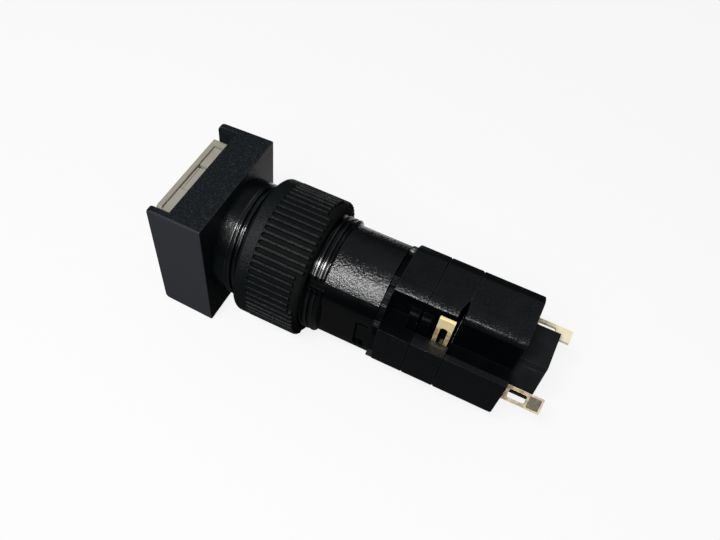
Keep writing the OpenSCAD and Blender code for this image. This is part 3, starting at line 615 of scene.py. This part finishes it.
def nut_mesh():
    """Locking nut: smooth front collar, rounded ribs and groups of longer ribs at the back."""
    # Places across one rib, in shares of the rib's pitch from its middle, and the height there
    across = (0.0, 0.1, 0.18, 0.22, 0.255, 0.285, 0.37, 0.5)
    height_there = (1.0, 0.99, 0.95, 0.82, 0.3, 0.04, 0.0, 0.0)
    offsets = [-o for o in reversed(across[1:])] + list(across[:-1])
    pitch = 360 / RIB_COUNT
    degrees = np.array([(i + 0.5 + o) * pitch for i in range(RIB_COUNT) for o in offsets])
    away = np.array([abs(o) for i in range(RIB_COUNT) for o in offsets])
    rib_no = np.repeat(np.arange(RIB_COUNT) + 0.5, len(offsets))
    angles = np.radians(degrees)
    rib = np.interp(away, across, height_there)
    off = np.abs((rib_no * pitch - LONG_RIB_CENTRE + 45 + 360) % 90 - 45)
    rib_end = np.where(off < LONG_RIB_ANGLE / 2, LONG_RIB_END, SHORT_RIB_END)
    # The grooves end in a round before the collar
    groove_half = 0.26
    in_groove = np.clip((0.5 - away) / groove_half, 0, 1)
    start = COLLAR_END + 0.28 * (1 - np.sqrt(1 - in_groove**2))
    core = NUT_R - RIB_DEPTH
    xs = [NUT_X + NUT_FRONT_ROUND * (1 - math.cos(math.radians(a))) for a in np.linspace(0, 90, 8)]
    xs += list(np.linspace(xs[-1] + 0.15, COLLAR_END - 0.25, 3))
    xs += list(np.linspace(COLLAR_END - 0.14, COLLAR_END + 0.5, 18))
    xs += [7.5, 9.5, 11.4]
    xs += list(np.linspace(SHORT_RIB_END - 0.2, SHORT_RIB_END + 0.04, 8))
    xs += list(np.linspace(SHORT_RIB_END + 0.12, LONG_RIB_END - 0.25, 5))
    xs += list(np.linspace(LONG_RIB_END - 0.14, LONG_RIB_END + 0.02, 5))
    xs += [NUT_END - NUT_BACK_ROUND * (1 - math.sin(math.radians(a))) for a in np.linspace(20, 90, 12)]
    rows = []
    for x in sorted(xs):
        front = max(0.0, NUT_X + NUT_FRONT_ROUND - x)
        drop = NUT_FRONT_ROUND - math.sqrt(max(NUT_FRONT_ROUND**2 - front**2, 0))
        back = max(0.0, x - (NUT_END - NUT_BACK_ROUND))
        fall = NUT_BACK_ROUND - math.sqrt(max(NUT_BACK_ROUND**2 - back**2, 0))
        ribbed = np.maximum(rib, 1 - step_up(x, start, start + 0.1))
        # A faint line between the collar and the ends of the ribs
        line = 0.16 * math.exp(-(((x - COLLAR_END) / 0.07) ** 2))
        collar = 0.1 * (1 - float(step_up(x, COLLAR_END - 0.12, COLLAR_END)))
        height = (ribbed - line - collar) * (1 - step_up(x, rib_end - 0.12, rib_end))
        round_by = (degrees - NUB_AT[1]) * math.radians(core)
        nub = np.hypot((x - NUB_AT[0]) / NUB_HALF[0], round_by / NUB_HALF[1])
        height = np.maximum(height, 0.9 * (1 - step_up(nub, 0.55, 1.0)))
        rows.append((x, core - fall + RIB_DEPTH * height - drop))
    rows += [(NUT_END, NUT_BORE_R + 0.12), (NUT_END - 0.12, NUT_BORE_R)]
    rows += [(NUT_X + 0.12, NUT_BORE_R), (NUT_X, NUT_BORE_R + 0.12)]
    mesh = sleeve("nut", rows, angles)
    smooth(mesh, 50)
    return mesh


def lens_mesh():
    """Cream lens: face and skirt, open at the top and bottom behind the face."""
    y, z = LENS_HALF
    mesh = slab((LENS_FACE, -y, -z), (LENS_FACE + LENS_LEN, y, z))
    rounded_edges(mesh, 0.5, lambda a, b: abs(a.x - b.x) > 0.1)
    inside = slab((LENS_FACE + LENS_SKIN, LENS_SKIN - y, LENS_SKIN - z), (5, y - LENS_SKIN, z - LENS_SKIN))
    opening = slab((LENS_FACE + LENS_SKIN, WINDOW_Y[0], -20), (5, WINDOW_Y[1], 20))
    return eased(carve(mesh, inside, opening), 0.14, 40)


def diffuser_mesh():
    """White diffuser; its side ears fill the lens's opening up to the face."""
    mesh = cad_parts["diffuser_plate"].data.copy()
    front = LENS_FACE + LENS_SKIN + 0.02
    for low, high in DIFFUSER_EARS:
        ear = slab((front, low, 7.08), (front + 1.9, high, 7.49))
        mirrored = slab((front, -high, 7.08), (front + 1.9, -low, 7.49))
        mesh = carve(mesh, ear, turned_twin(mirrored), union=True)
    return eased(mesh, 0.05)


def coil_mesh(x0, x1, coil_r, wire_r, turns):
    """A compression spring of round wire with closed end turns, along the axis."""
    steps, sides = 44, 12
    total = turns * steps
    lead = x1 - x0 - 2 * wire_r

    def rise(t):
        # The end turns lie flat, so the wire rises slowly at both ends
        return float(step_up(t, -0.04, 1.04)) * 0.35 + t * 0.65

    path = []
    for i in range(total + 1):
        a = 2 * math.pi * turns * i / total
        x = x0 + wire_r + lead * (rise(i / total) - rise(0)) / (rise(1) - rise(0))
        path.append(Vector((x, -coil_r * math.sin(a), coil_r * math.cos(a))))
    points = []
    for i, p in enumerate(path):
        ahead = (path[min(i + 1, total)] - path[max(i - 1, 0)]).normalized()
        out = Vector((0, p.y, p.z)).normalized()
        side = ahead.cross(out).normalized()
        for k in range(sides):
            b = 2 * math.pi * k / sides
            points.append(tuple(p + wire_r * (out * math.cos(b) + side * math.sin(b))))
    faces = []
    for i in range(total):
        for k in range(sides):
            n = (k + 1) % sides
            faces.append((i * sides + k, i * sides + n, (i + 1) * sides + n, (i + 1) * sides + k))
    faces.append(tuple(range(sides)))
    faces.append(tuple(total * sides + k for k in range(sides)))
    mesh = mesh_from("coil", points, faces)
    smooth(mesh, 50)
    return mesh


# Materials


def node_group(name, inputs, outputs):
    """An empty shader group with float inputs (name, default) and named outputs."""
    group = bpy.data.node_groups.new(name, "ShaderNodeTree")
    for label, value in inputs:
        socket = group.interface.new_socket(label, in_out="INPUT", socket_type="NodeSocketFloat")
        socket.default_value = value
    for label in outputs:
        group.interface.new_socket(label, in_out="OUTPUT", socket_type="NodeSocketFloat")
    return group, group.nodes.new("NodeGroupInput"), group.nodes.new("NodeGroupOutput")


def moulded_skin_group():
    """Surface of moulded plastic: fine grain, coarser crinkle, slow patches and rare small specks."""
    group, given, result = node_group(
        "moulded_skin",
        [("Grain Scale", 9000.0), ("Crinkle Scale", 1900.0), ("Patch Scale", 350.0), ("Speck Scale", 900.0)],
        ["Grain", "Crinkle", "Patch", "Speck"],
    )
    nodes, links = group.nodes, group.links
    place = nodes.new("ShaderNodeTexCoord")
    grain = nodes.new("ShaderNodeTexNoise")
    grain.inputs["Detail"].default_value = 3.0
    grain.inputs["Roughness"].default_value = 0.6
    crinkle = nodes.new("ShaderNodeTexNoise")
    crinkle.inputs["Detail"].default_value = 1.0
    patch = nodes.new("ShaderNodeTexNoise")
    patch.inputs["Detail"].default_value = 4.0
    speck = nodes.new("ShaderNodeTexVoronoi")
    textures = (
        (grain, "Grain Scale"),
        (crinkle, "Crinkle Scale"),
        (patch, "Patch Scale"),
        (speck, "Speck Scale"),
    )
    for texture, label in textures:
        links.new(place.outputs["Object"], texture.inputs["Vector"])
        links.new(given.outputs[label], texture.inputs["Scale"])
    spread = nodes.new("ShaderNodeMapRange")
    spread.inputs["From Min"].default_value = 0.3
    spread.inputs["From Max"].default_value = 0.7
    links.new(patch.outputs["Fac"], spread.inputs["Value"])
    tip = nodes.new("ShaderNodeMapRange")
    tip.inputs["From Min"].default_value = 0.06
    tip.inputs["From Max"].default_value = 0.02
    links.new(speck.outputs["Distance"], tip.inputs["Value"])
    links.new(grain.outputs["Fac"], result.inputs["Grain"])
    links.new(crinkle.outputs["Fac"], result.inputs["Crinkle"])
    links.new(spread.outputs["Result"], result.inputs["Patch"])
    links.new(tip.outputs["Result"], result.inputs["Speck"])
    return group


def edge_rub_group():
    """Mask of the outer edges, where handling has rubbed them a little."""
    group, given, result = node_group("edge_rub", [("Width", 0.0002), ("Breakup Scale", 1500.0)], ["Edge"])
    nodes, links = group.nodes, group.links
    rounded = nodes.new("ShaderNodeBevel")
    rounded.samples = 4
    links.new(given.outputs["Width"], rounded.inputs["Radius"])
    plain = nodes.new("ShaderNodeNewGeometry")
    dot = nodes.new("ShaderNodeVectorMath")
    dot.operation = "DOT_PRODUCT"
    links.new(rounded.outputs["Normal"], dot.inputs[0])
    links.new(plain.outputs["Normal"], dot.inputs[1])
    spread = nodes.new("ShaderNodeMapRange")
    spread.inputs["From Min"].default_value = 0.995
    spread.inputs["From Max"].default_value = 0.9
    links.new(dot.outputs["Value"], spread.inputs["Value"])
    place = nodes.new("ShaderNodeTexCoord")
    breakup = nodes.new("ShaderNodeTexNoise")
    links.new(place.outputs["Object"], breakup.inputs["Vector"])
    links.new(given.outputs["Breakup Scale"], breakup.inputs["Scale"])
    both = nodes.new("ShaderNodeMath")
    both.operation = "MULTIPLY"
    links.new(spread.outputs["Result"], both.inputs[0])
    links.new(breakup.outputs["Fac"], both.inputs[1])
    links.new(both.outputs["Value"], result.inputs["Edge"])
    return group


MOULDED_SKIN = moulded_skin_group()
EDGE_RUB = edge_rub_group()


class Tree:
    """Adds nodes to one shader tree."""

    def __init__(self, tree):
        self.nodes = tree.nodes
        self.links = tree.links

    def set(self, socket, value):
        """Links a socket, or gives it a plain value."""
        if isinstance(value, bpy.types.NodeSocket):
            self.links.new(value, socket)
        else:
            socket.default_value = value

    def spread(self, value, low, high, from_low=0.0, from_high=1.0, ease="LINEAR"):
        """The socket's value laid over another range."""
        node = self.nodes.new("ShaderNodeMapRange")
        node.interpolation_type = ease
        node.inputs["From Min"].default_value = from_low
        node.inputs["From Max"].default_value = from_high
        node.inputs["To Min"].default_value = low
        node.inputs["To Max"].default_value = high
        self.links.new(value, node.inputs["Value"])
        return node.outputs["Result"]

    def maths(self, operation, a, b=0.0):
        """One sum of two sockets or numbers."""
        node = self.nodes.new("ShaderNodeMath")
        node.operation = operation
        self.set(node.inputs[0], a)
        self.set(node.inputs[1], b)
        return node.outputs["Value"]

    def axes(self, label):
        """The three parts of a place in object or generated coordinates, by the name of the axis."""
        place = self.nodes.new("ShaderNodeTexCoord")
        split = self.nodes.new("ShaderNodeSeparateXYZ")
        self.links.new(place.outputs[label], split.inputs[0])
        return split.outputs


class Recipe(Tree):
    """Builds one material's nodes round its own Principled shader."""

    def __init__(self, name):
        self.material = bpy.data.materials.new(name)
        self.material.use_nodes = True
        super().__init__(self.material.node_tree)
        self.shader = self.nodes["Principled BSDF"]

    def fixed(self, **values):
        """Sets constants on the shader's own sockets."""
        for label, value in values.items():
            self.shader.inputs[label.replace("_", " ")].default_value = value

    def group(self, tree, **values):
        """Places a shared group with this material's own values."""
        node = self.nodes.new("ShaderNodeGroup")
        node.node_tree = tree
        for label, value in values.items():
            node.inputs[label.replace("_", " ")].default_value = value
        return node.outputs

    def blend_colour(self, factor, a, b):
        """A colour between a and b by a factor socket."""
        node = self.nodes.new("ShaderNodeMix")
        node.data_type = "RGBA"
        self.links.new(factor, node.inputs[0])
        for socket, value in ((node.inputs[6], a), (node.inputs[7], b)):
            self.set(socket, (*value, 1.0) if isinstance(value, tuple) else value)
        return node.outputs[2]

    def bump(self, height, strength, distance_mm):
        """Feeds a height to the shader's normal."""
        node = self.nodes.new("ShaderNodeBump")
        node.inputs["Distance"].default_value = distance_mm * MM
        self.set(node.inputs["Strength"], strength)
        self.links.new(height, node.inputs["Height"])
        self.links.new(node.outputs["Normal"], self.shader.inputs["Normal"])

    def feed(self, label, socket):
        """Links a socket to one of the shader's inputs."""
        self.links.new(socket, self.shader.inputs[label])


def black_plastic(
    name, dark, worn, rough, specular, grain, crinkle,
    grain_scale=6500.0, crinkle_scale=2300.0, rind=None, shade=(1.0, 0.0),
):
    """Black moulded plastic: grain, crinkle, slow patches in gloss, a few specks and rubbed edges.

    With a rind, a distance from the axis in millimetres, only what lies further out is crinkled,
    and further in shade's first number scales the colour as painted shade, its second moves the roughness.
    """
    r = Recipe(name)
    scales = {"Grain_Scale": grain_scale, "Crinkle_Scale": crinkle_scale}
    skin = r.group(MOULDED_SKIN, Patch_Scale=420.0, Speck_Scale=1100.0, **scales)
    edge = r.group(EDGE_RUB, Width=0.00014, Breakup_Scale=1800.0)
    tone = r.blend_colour(skin["Patch"], dark, tuple(1.6 * c for c in dark))
    tone = r.blend_colour(r.maths("MULTIPLY", edge["Edge"], 0.5), tone, worn)
    tone = r.blend_colour(r.maths("MULTIPLY", skin["Speck"], 0.25), tone, worn)
    gloss = r.spread(skin["Patch"], *rough)
    fine = r.maths("MULTIPLY", skin["Grain"], grain)
    height = r.maths("ADD", fine, r.maths("MULTIPLY", skin["Crinkle"], crinkle))
    outside = 1.0
    if rind:
        at = r.axes("Object")
        y, z = (r.maths("POWER", at[axis], 2.0) for axis in ("Y", "Z"))
        out = r.maths("SQRT", r.maths("ADD", y, z))
        outside = r.spread(out, 0.06, 1.0, (rind - 0.04) * MM, (rind + 0.04) * MM)
        # Further in, the darker colour is painted shade in grooves, roots, the keyway and the channels
        tone = r.blend_colour(outside, tuple(shade[0] * c for c in dark), tone)
        gloss = r.maths("ADD", gloss, r.spread(outside, shade[1], 0.0))
    r.bump(height, outside, 0.05)
    r.feed("Base Color", tone)
    r.feed("Roughness", gloss)
    r.fixed(Specular_IOR_Level=specular)
    return r.material


def bezel_plastic():
    """The bezel's plastic: grained on top, below, in front and behind, smooth on the guards' outer sides."""
    # The guards' outer sides are lighter as a painted reflection; their smoother finish is real
    guard_sheen_tone, grained_tone = (0.038, 0.040, 0.0455), (0.0040, 0.0058, 0.0074)
    mottled_tone, rubbed_tone = (0.021, 0.027, 0.030), (0.05, 0.055, 0.06)
    r = Recipe("bezel_black")
    skin = r.group(MOULDED_SKIN, Grain_Scale=4200.0, Patch_Scale=260.0, Speck_Scale=1100.0)
    edge = r.group(EDGE_RUB, Width=0.00018, Breakup_Scale=1500.0)
    facing = r.nodes.new("ShaderNodeNewGeometry")
    split = r.nodes.new("ShaderNodeSeparateXYZ")
    r.links.new(facing.outputs["Normal"], split.inputs[0])
    side = r.maths("ABSOLUTE", split.outputs["Y"])
    outer = r.spread(r.maths("ABSOLUTE", r.axes("Object")["Y"]), 0.0, 1.0, 8.5 * MM, 8.8 * MM)
    grained = r.spread(r.maths("MULTIPLY", side, outer), 1.0, 0.12, 0.55, 0.85)
    tone = r.blend_colour(grained, guard_sheen_tone, grained_tone)
    mottle = r.spread(skin["Grain"], 0.0, 1.0, 0.5, 0.66)
    mottle = r.maths("MULTIPLY", mottle, r.maths("MULTIPLY", grained, 0.75))
    tone = r.blend_colour(mottle, tone, mottled_tone)
    tone = r.blend_colour(r.maths("MULTIPLY", edge["Edge"], 0.7), tone, rubbed_tone)
    r.feed("Base Color", tone)
    r.feed("Roughness", r.spread(grained, 0.4, 0.5))
    r.bump(skin["Grain"], r.spread(grained, 0.05, 0.8), 0.05)
    r.fixed(Specular_IOR_Level=0.22)
    return r.material


def lens_plastic():
    """Milky cream plastic of the lens, its edges rubbed brownish."""
    r = Recipe("lens_cream")
    skin = r.group(MOULDED_SKIN, Grain_Scale=6000.0, Patch_Scale=300.0, Speck_Scale=700.0)
    tone = r.blend_colour(skin["Patch"], (0.27, 0.25, 0.205), (0.31, 0.29, 0.235))
    tone = r.blend_colour(r.maths("MULTIPLY", skin["Speck"], 0.35), tone, (0.25, 0.22, 0.16))
    edge = r.group(EDGE_RUB, Width=0.00022, Breakup_Scale=900.0)
    tone = r.blend_colour(r.maths("MULTIPLY", edge["Edge"], 1.3), tone, (0.13, 0.11, 0.075))
    r.feed("Base Color", tone)
    r.feed("Roughness", r.spread(skin["Patch"], 0.34, 0.46))
    r.bump(skin["Grain"], 0.08, 0.02)
    r.fixed(Subsurface_Weight=0.15, Subsurface_Scale=0.0006, Specular_IOR_Level=0.45)
    return r.material


def white_plastic(name, tint, rough):
    """White or natural plastic of the inner plates and sliding parts."""
    r = Recipe(name)
    skin = r.group(MOULDED_SKIN, Grain_Scale=5000.0, Patch_Scale=400.0, Speck_Scale=800.0)
    tone = r.blend_colour(skin["Patch"], tint, tuple(0.92 * c for c in tint))
    tone = r.blend_colour(r.maths("MULTIPLY", skin["Speck"], 0.3), tone, (0.2, 0.18, 0.14))
    r.feed("Base Color", tone)
    r.feed("Roughness", r.spread(skin["Patch"], rough, rough + 0.1))
    r.bump(skin["Grain"], 0.06, 0.02)
    r.fixed(Specular_IOR_Level=0.4)
    return r.material


def metal(name, bright, dull, rough, stain_scale, brush, metallic=1.0, clean_from=None):
    """Metal with a fine grain, dull stains and rubbed bright edges.

    With clean_from, an axis and two distances in millimetres, the stains fade out between the distances.
    """
    r = Recipe(name)
    skin = r.group(MOULDED_SKIN, Grain_Scale=7000.0, Patch_Scale=stain_scale, Speck_Scale=1600.0)
    edge = r.group(EDGE_RUB, Width=0.00012, Breakup_Scale=2500.0)
    stained = skin["Patch"]
    if clean_from:
        axis, low, high = clean_from
        along = r.maths("ABSOLUTE", r.axes("Object")[axis])
        fade = r.spread(along, 1.0, 0.1, low * MM, high * MM)
        stained = r.maths("MULTIPLY", r.spread(stained, 0.25, 1.3), fade)
    tone = r.blend_colour(stained, bright, dull)
    tone = r.blend_colour(edge["Edge"], tone, tuple(min(1.0, 1.12 * c) for c in bright))
    tone = r.blend_colour(r.maths("MULTIPLY", skin["Speck"], 0.5), tone, tuple(0.4 * c for c in dull))
    r.feed("Base Color", tone)
    r.feed("Roughness", r.spread(skin["Patch"], rough, rough + 0.16))
    r.bump(skin["Grain"], brush, 0.01)
    r.fixed(Metallic=metallic)
    return r.material


def lamp_resin():
    """Water-clear resin of the lamp."""
    r = Recipe("lamp_resin")
    skin = r.group(MOULDED_SKIN, Grain_Scale=3000.0, Patch_Scale=300.0, Speck_Scale=700.0)
    r.feed("Base Color", r.blend_colour(skin["Patch"], (0.93, 0.92, 0.86), (0.88, 0.86, 0.78)))
    r.feed("Roughness", r.spread(skin["Patch"], 0.06, 0.12))
    r.fixed(Transmission_Weight=0.9, IOR=1.5)
    return r.material


RUBBED_GREY = (0.03, 0.031, 0.034)

BEZEL = bezel_plastic()
# Painted shade on the keyway floor, the middle of the flats and the inner parts of the end faces
BARREL = black_plastic(
    "barrel_black", (0.0015, 0.0020, 0.0027), RUBBED_GREY, (0.17, 0.25), 0.6, grain=0.6, crinkle=1.3,
    grain_scale=7500.0, crinkle_scale=4200.0, rind=7.0, shade=(0.4, -0.08),
)
# Painted shade in the roots of the thread and in its bore
THREAD = black_plastic(
    "thread_black", (0.0016, 0.0022, 0.0028), RUBBED_GREY, (0.14, 0.22), 0.8, grain=0.2, crinkle=0.2,
    crinkle_scale=1500.0, rind=7.6, shade=(0.3, 0.0),
)
NECK = black_plastic(
    "neck_black", (0.0012, 0.0019, 0.0023), RUBBED_GREY, (0.17, 0.27), 0.3, grain=0.3, crinkle=0.3,
    crinkle_scale=1500.0,
)
# Painted shade in the grooves between the ribs, on the rounds and on the end faces
NUT = black_plastic(
    "nut_black", (0.0022, 0.0034, 0.0039), (0.045, 0.043, 0.036), (0.40, 0.54), 0.2, grain=1.8, crinkle=0.8,
    grain_scale=4600.0, crinkle_scale=2600.0, rind=9.22, shade=(0.35, 0.4),
)
# Painted shade in the channels, on the lugs and on the inner parts of the end faces
BLOCK = black_plastic(
    "block_black", (0.0010, 0.0016, 0.0023), (0.024, 0.026, 0.030), (0.26, 0.38), 0.4, grain=0.5, crinkle=1.2,
    crinkle_scale=3600.0, rind=7.0, shade=(0.6, -0.05),
)
# A darker, barely glossy copy of the block's black for channels, keyway and collar outside its pads: painted
# shade
RECESS = black_plastic(
    "block_recess_black", (0.0009, 0.0013, 0.0016), (0.02, 0.022, 0.024), (0.34, 0.46), 0.05, grain=0.4,
    crinkle=0.4,
)
LAMP_BLOCK = black_plastic(
    "lamp_block_black", (0.0070, 0.0076, 0.0080), (0.03, 0.031, 0.035), (0.45, 0.55), 0.1, grain=0.4,
    crinkle=0.2,
)
# Painted shade on the collar's ring and between the ridges of its pads
COLLAR = black_plastic(
    "collar_black", (0.0100, 0.0108, 0.0118), (0.02, 0.021, 0.022), (0.26, 0.36), 0.6, grain=0.3, crinkle=0.3,
    rind=7.36, shade=(0.15, 0.1),
)
LENS = lens_plastic()
WHITE = white_plastic("plate_white", (0.31, 0.295, 0.25), 0.4)
NATURAL = white_plastic("slide_natural", (0.66, 0.64, 0.57), 0.45)
# Its stains fade out towards the upper tab's tip, which stays bright partly as a painted reflection
GOLD = metal(
    "tab_gold", (1.0, 0.91, 0.66), (0.55, 0.45, 0.28), 0.32, 1500.0, 0.2, 0.25, clean_from=("X", 41.6, 43.4)
)
# The lower tab's gold is a darker copy of the upper tab's, as painted shade
LOWER_GOLD = metal(
    "lower_tab_gold", (0.50, 0.42, 0.27), (0.22, 0.17, 0.10), 0.4, 1300.0, 0.2, 0.25, clean_from=("X", 42, 47)
)
SIDE_GOLD = metal(
    "side_tab_gold", (1.0, 0.84, 0.46), (0.36, 0.26, 0.12), 0.3, 1500.0, 0.2, 0.2, clean_from=("Z", 4.4, 5.3)
)
DULL_GOLD = metal("tab_field", (0.13, 0.11, 0.08), (0.08, 0.07, 0.05), 0.55, 1500.0, 0.4, 0.3)
STEEL = metal("spring_steel", (0.62, 0.62, 0.63), (0.50, 0.50, 0.51), 0.18, 700.0, 0.1)
SILVER = metal("contact_silver", (0.85, 0.84, 0.82), (0.70, 0.69, 0.66), 0.22, 900.0, 0.1)
RESIN = lamp_resin()


# Assembly

contact_low, contact_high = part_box("contact_spring")
contact_coil = coil_mesh(contact_low.x / MM, contact_high.x / MM, *CONTACT_COIL)

# Each row: name, mesh, body, slot, the CAD node it stands for, and its materials
PIECES = (
    ("bezel", bezel_mesh(), "housing", "housing_plastic", "housing", BEZEL),
    ("threaded_neck", threaded_neck_mesh(), "housing", "housing_plastic", "housing", THREAD, NECK, RECESS),
    ("barrel", barrel_mesh(), "housing", "housing_plastic", "housing", BARREL),
    ("ribbed_nut", nut_mesh(), "nut", "nut_plastic", "locking_nut", NUT),
    ("grip_collar", collar_mesh(), "housing", "inner_plastic", "coupling_collar", COLLAR, RECESS),
    ("block_front", front_section_mesh(), "housing", "block_plastic", "contact_block_front", BLOCK, RECESS),
    (
        "block_middle", middle_section_mesh(), "housing", "block_plastic",
        "contact_block_middle", BLOCK, RECESS,
    ),
    ("block_rear", rear_section_mesh(), "housing", "block_plastic", "contact_block_rear", BLOCK, RECESS),
    ("lamp_cap", lamp_cap_mesh(), "housing", "block_plastic", "lamp_block", LAMP_BLOCK),
    (
        "rear_tab_upper", rear_tab_mesh("upper"), "housing", "terminal_brass",
        "lamp_terminal_upper", GOLD, DULL_GOLD,
    ),
    (
        "rear_tab_lower", rear_tab_mesh("lower"), "housing", "terminal_brass",
        "lamp_terminal_lower", LOWER_GOLD, DULL_GOLD,
    ),
    (
        "side_tab_near", side_tab_mesh(False), "housing", "terminal_brass",
        "side_terminal_near", SIDE_GOLD, DULL_GOLD,
    ),
    (
        "side_tab_far", side_tab_mesh(True), "housing", "terminal_brass",
        "side_terminal_far", SIDE_GOLD, DULL_GOLD,
    ),
    ("cream_lens", lens_mesh(), "button", "lens_cream", "lens_cover", LENS),
    ("diffuser_sheet", diffuser_mesh(), "button", "white_plate", "diffuser_plate", WHITE),
    ("marking_sheet", softened_copy("marking_plate", 0.05), "button", "white_plate", "marking_plate", WHITE),
    ("lens_tray", softened_copy("button_frame", 0.08), "button", "inner_plastic", "button_frame", COLLAR),
    ("return_coil", coil_mesh(*RETURN_COIL), "housing", "spring_steel", "return_spring", STEEL),
    ("contact_coil", contact_coil, "contact_slider", "spring_steel", "contact_spring", STEEL),
)
made = {}
for name, mesh, body, slot_name, node, *materials in PIECES:
    made[name] = piece(name, mesh, body, slot_name, node, materials)
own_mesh(made["return_coil"])

KEPT = {
    "plunger": NATURAL,
    "led_lamp": RESIN,
    "lamp_holder": NATURAL,
    "lamp_lead_upper": GOLD,
    "lamp_lead_lower": GOLD,
    "fixed_contact_tips": SILVER,
    "contact_carrier": NATURAL,
    "contact_bridge": GOLD,
    "moving_contact_tips": SILVER,
}
for node, material in KEPT.items():
    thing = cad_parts[node]
    for holder in thing.material_slots:
        holder.link = "OBJECT"
        holder.material = material


# Scene


def pale_floor():
    """A large floor under the nut: near white to the camera, with the shadow, and painted shadow before the
    object.
    """
    mesh = bpy.data.meshes.new("floor")
    size, z = FLOOR_HALF * MM, FLOOR_Z * MM
    corners = [(-size, -size, z), (size, -size, z), (size, size, z), (-size, size, z)]
    mesh.from_pydata(corners, [], [(0, 1, 2, 3)])
    floor = bpy.data.objects.new("floor", mesh)
    bpy.context.scene.collection.objects.link(floor)
    r = Recipe("floor_pale")
    path = r.nodes.new("ShaderNodeLightPath").outputs
    at = r.axes("Object")
    # What other rays meet: a painted pale patch behind the neck and the nut, and painted shadow elsewhere
    behind = r.spread(at["Y"], 0.0, 1.0, 2 * MM, 14 * MM)
    further = r.spread(at["Y"], 0.0, 1.0, -2 * MM, 8 * MM)
    near_by = r.spread(at["Y"], 1.0, 0.0, 28 * MM, 52 * MM)
    beside = r.spread(at["X"], 1.0, 0.0, 13 * MM, 21 * MM)
    behind = r.maths("MULTIPLY", behind, r.maths("MULTIPLY", near_by, beside))
    dark = r.blend_colour(further, (FLOOR_BEFORE,) * 3, (FLOOR_BESIDE,) * 3)
    met = r.blend_colour(behind, dark, (FLOOR_BEHIND,) * 3)
    r.feed("Base Color", r.blend_colour(path["Is Camera Ray"], met, (FLOOR_SEEN,) * 3))
    r.fixed(Roughness=0.9, Specular_IOR_Level=0.1)
    glow = r.nodes.new("ShaderNodeEmission")
    glow.inputs["Color"].default_value = (1, 1, 1, 1)
    glow.inputs["Strength"].default_value = BACKGROUND
    # To glossy rays the pale patch glows, as painted light
    mirrored = r.maths("MULTIPLY", path["Is Glossy Ray"], behind)
    seen = r.maths("MULTIPLY", r.maths("MAXIMUM", path["Is Camera Ray"], mirrored), FLOOR_GLOW)
    mix = r.nodes.new("ShaderNodeMixShader")
    r.links.new(seen, mix.inputs[0])
    r.links.new(r.shader.outputs[0], mix.inputs[1])
    r.links.new(glow.outputs[0], mix.inputs[2])
    r.links.new(mix.outputs[0], r.nodes["Material Output"].inputs["Surface"])
    mesh.materials.append(r.material)


def area_lamp(name, at, towards, size, watts):
    """A soft rectangular lamp."""
    data = bpy.data.lights.new(name, "AREA")
    data.shape = "RECTANGLE"
    data.size, data.size_y = size[0] * MM, size[1] * MM
    data.energy = watts
    lamp = bpy.data.objects.new(name, data)
    bpy.context.scene.collection.objects.link(lamp)
    lamp.location = Vector(at) * MM
    lamp.rotation_mode = "QUATERNION"
    lamp.rotation_quaternion = (Vector(towards) - Vector(at)).to_track_quat("-Z", "Y")


def studio_world():
    """White to the camera; glossy rays find a soft box, a dim sky overhead and dark round it; a soft fill."""
    world = bpy.data.worlds.new("studio")
    bpy.context.scene.world = world
    world.use_nodes = True
    w = Tree(world.node_tree)
    sky = w.nodes["Background"]
    path = w.nodes.new("ShaderNodeLightPath").outputs
    way = w.nodes.new("ShaderNodeTexCoord").outputs["Generated"]
    at = w.axes("Generated")

    def share(value, low, high):
        return w.spread(value, 0.0, 1.0, low, high, "SMOOTHSTEP")

    low_sky = w.maths("MULTIPLY", share(at["Z"], 0.26, 0.12), share(at["Y"], -0.1, 0.3))
    aim = w.nodes.new("ShaderNodeVectorMath")
    aim.operation = "DOT_PRODUCT"
    w.links.new(way, aim.inputs[0])
    aim.inputs[1].default_value = Vector(SOFTBOX_TOWARDS).normalized()
    box = w.maths("MULTIPLY", share(aim.outputs["Value"], 0.925, 0.955), SOFTBOX)
    overhead = w.maths("ADD", DIM, w.maths("MULTIPLY", share(at["Z"], 0.3, 0.62), HIGH_SKY))
    found = w.maths("MAXIMUM", w.maths("MULTIPLY", low_sky, LOW_SKY), w.maths("MAXIMUM", box, overhead))
    glossy = w.maths("MAXIMUM", path["Is Glossy Ray"], path["Is Transmission Ray"])
    level = FILL
    for chosen, value in ((glossy, found), (path["Is Camera Ray"], BACKDROP)):
        mix = w.nodes.new("ShaderNodeMix")
        mix.data_type = "FLOAT"
        w.links.new(chosen, mix.inputs["Factor"])
        w.set(mix.inputs["A"], level)
        w.set(mix.inputs["B"], value)
        level = mix.outputs["Result"]
    sky.inputs["Color"].default_value = (1, 1, 1, 1)
    w.links.new(level, sky.inputs["Strength"])


def photo_camera():
    """Camera at the photograph's place, with its off-centre principal point."""
    data = bpy.data.cameras.new("camera")
    data.sensor_width = 36.0
    data.sensor_fit = "HORIZONTAL"
    data.lens = FOCAL_PX / IMAGE_W * data.sensor_width
    data.shift_x = (IMAGE_W / 2 - CENTRE_PX[0]) / IMAGE_W
    data.shift_y = (CENTRE_PX[1] - IMAGE_H / 2) / IMAGE_W
    data.clip_start = 0.005
    data.clip_end = 10
    camera = bpy.data.objects.new("camera", data)
    bpy.context.scene.collection.objects.link(camera)
    right, up, back = Vector(CAMERA_RIGHT), -Vector(CAMERA_DOWN), -Vector(CAMERA_AHEAD)
    turn = Matrix((right, up, back)).transposed().to_4x4()
    camera.matrix_world = Matrix.Translation(Vector(CAMERA_AT) * MM) @ turn
    bpy.context.scene.camera = camera


pale_floor()
studio_world()
for lamp_name, lamp_at, lamp_size, watts in LAMPS:
    area_lamp(lamp_name, lamp_at, LAMPS_TOWARDS, lamp_size, watts)
photo_camera()
bpy.context.scene.view_settings.view_transform = "Standard"
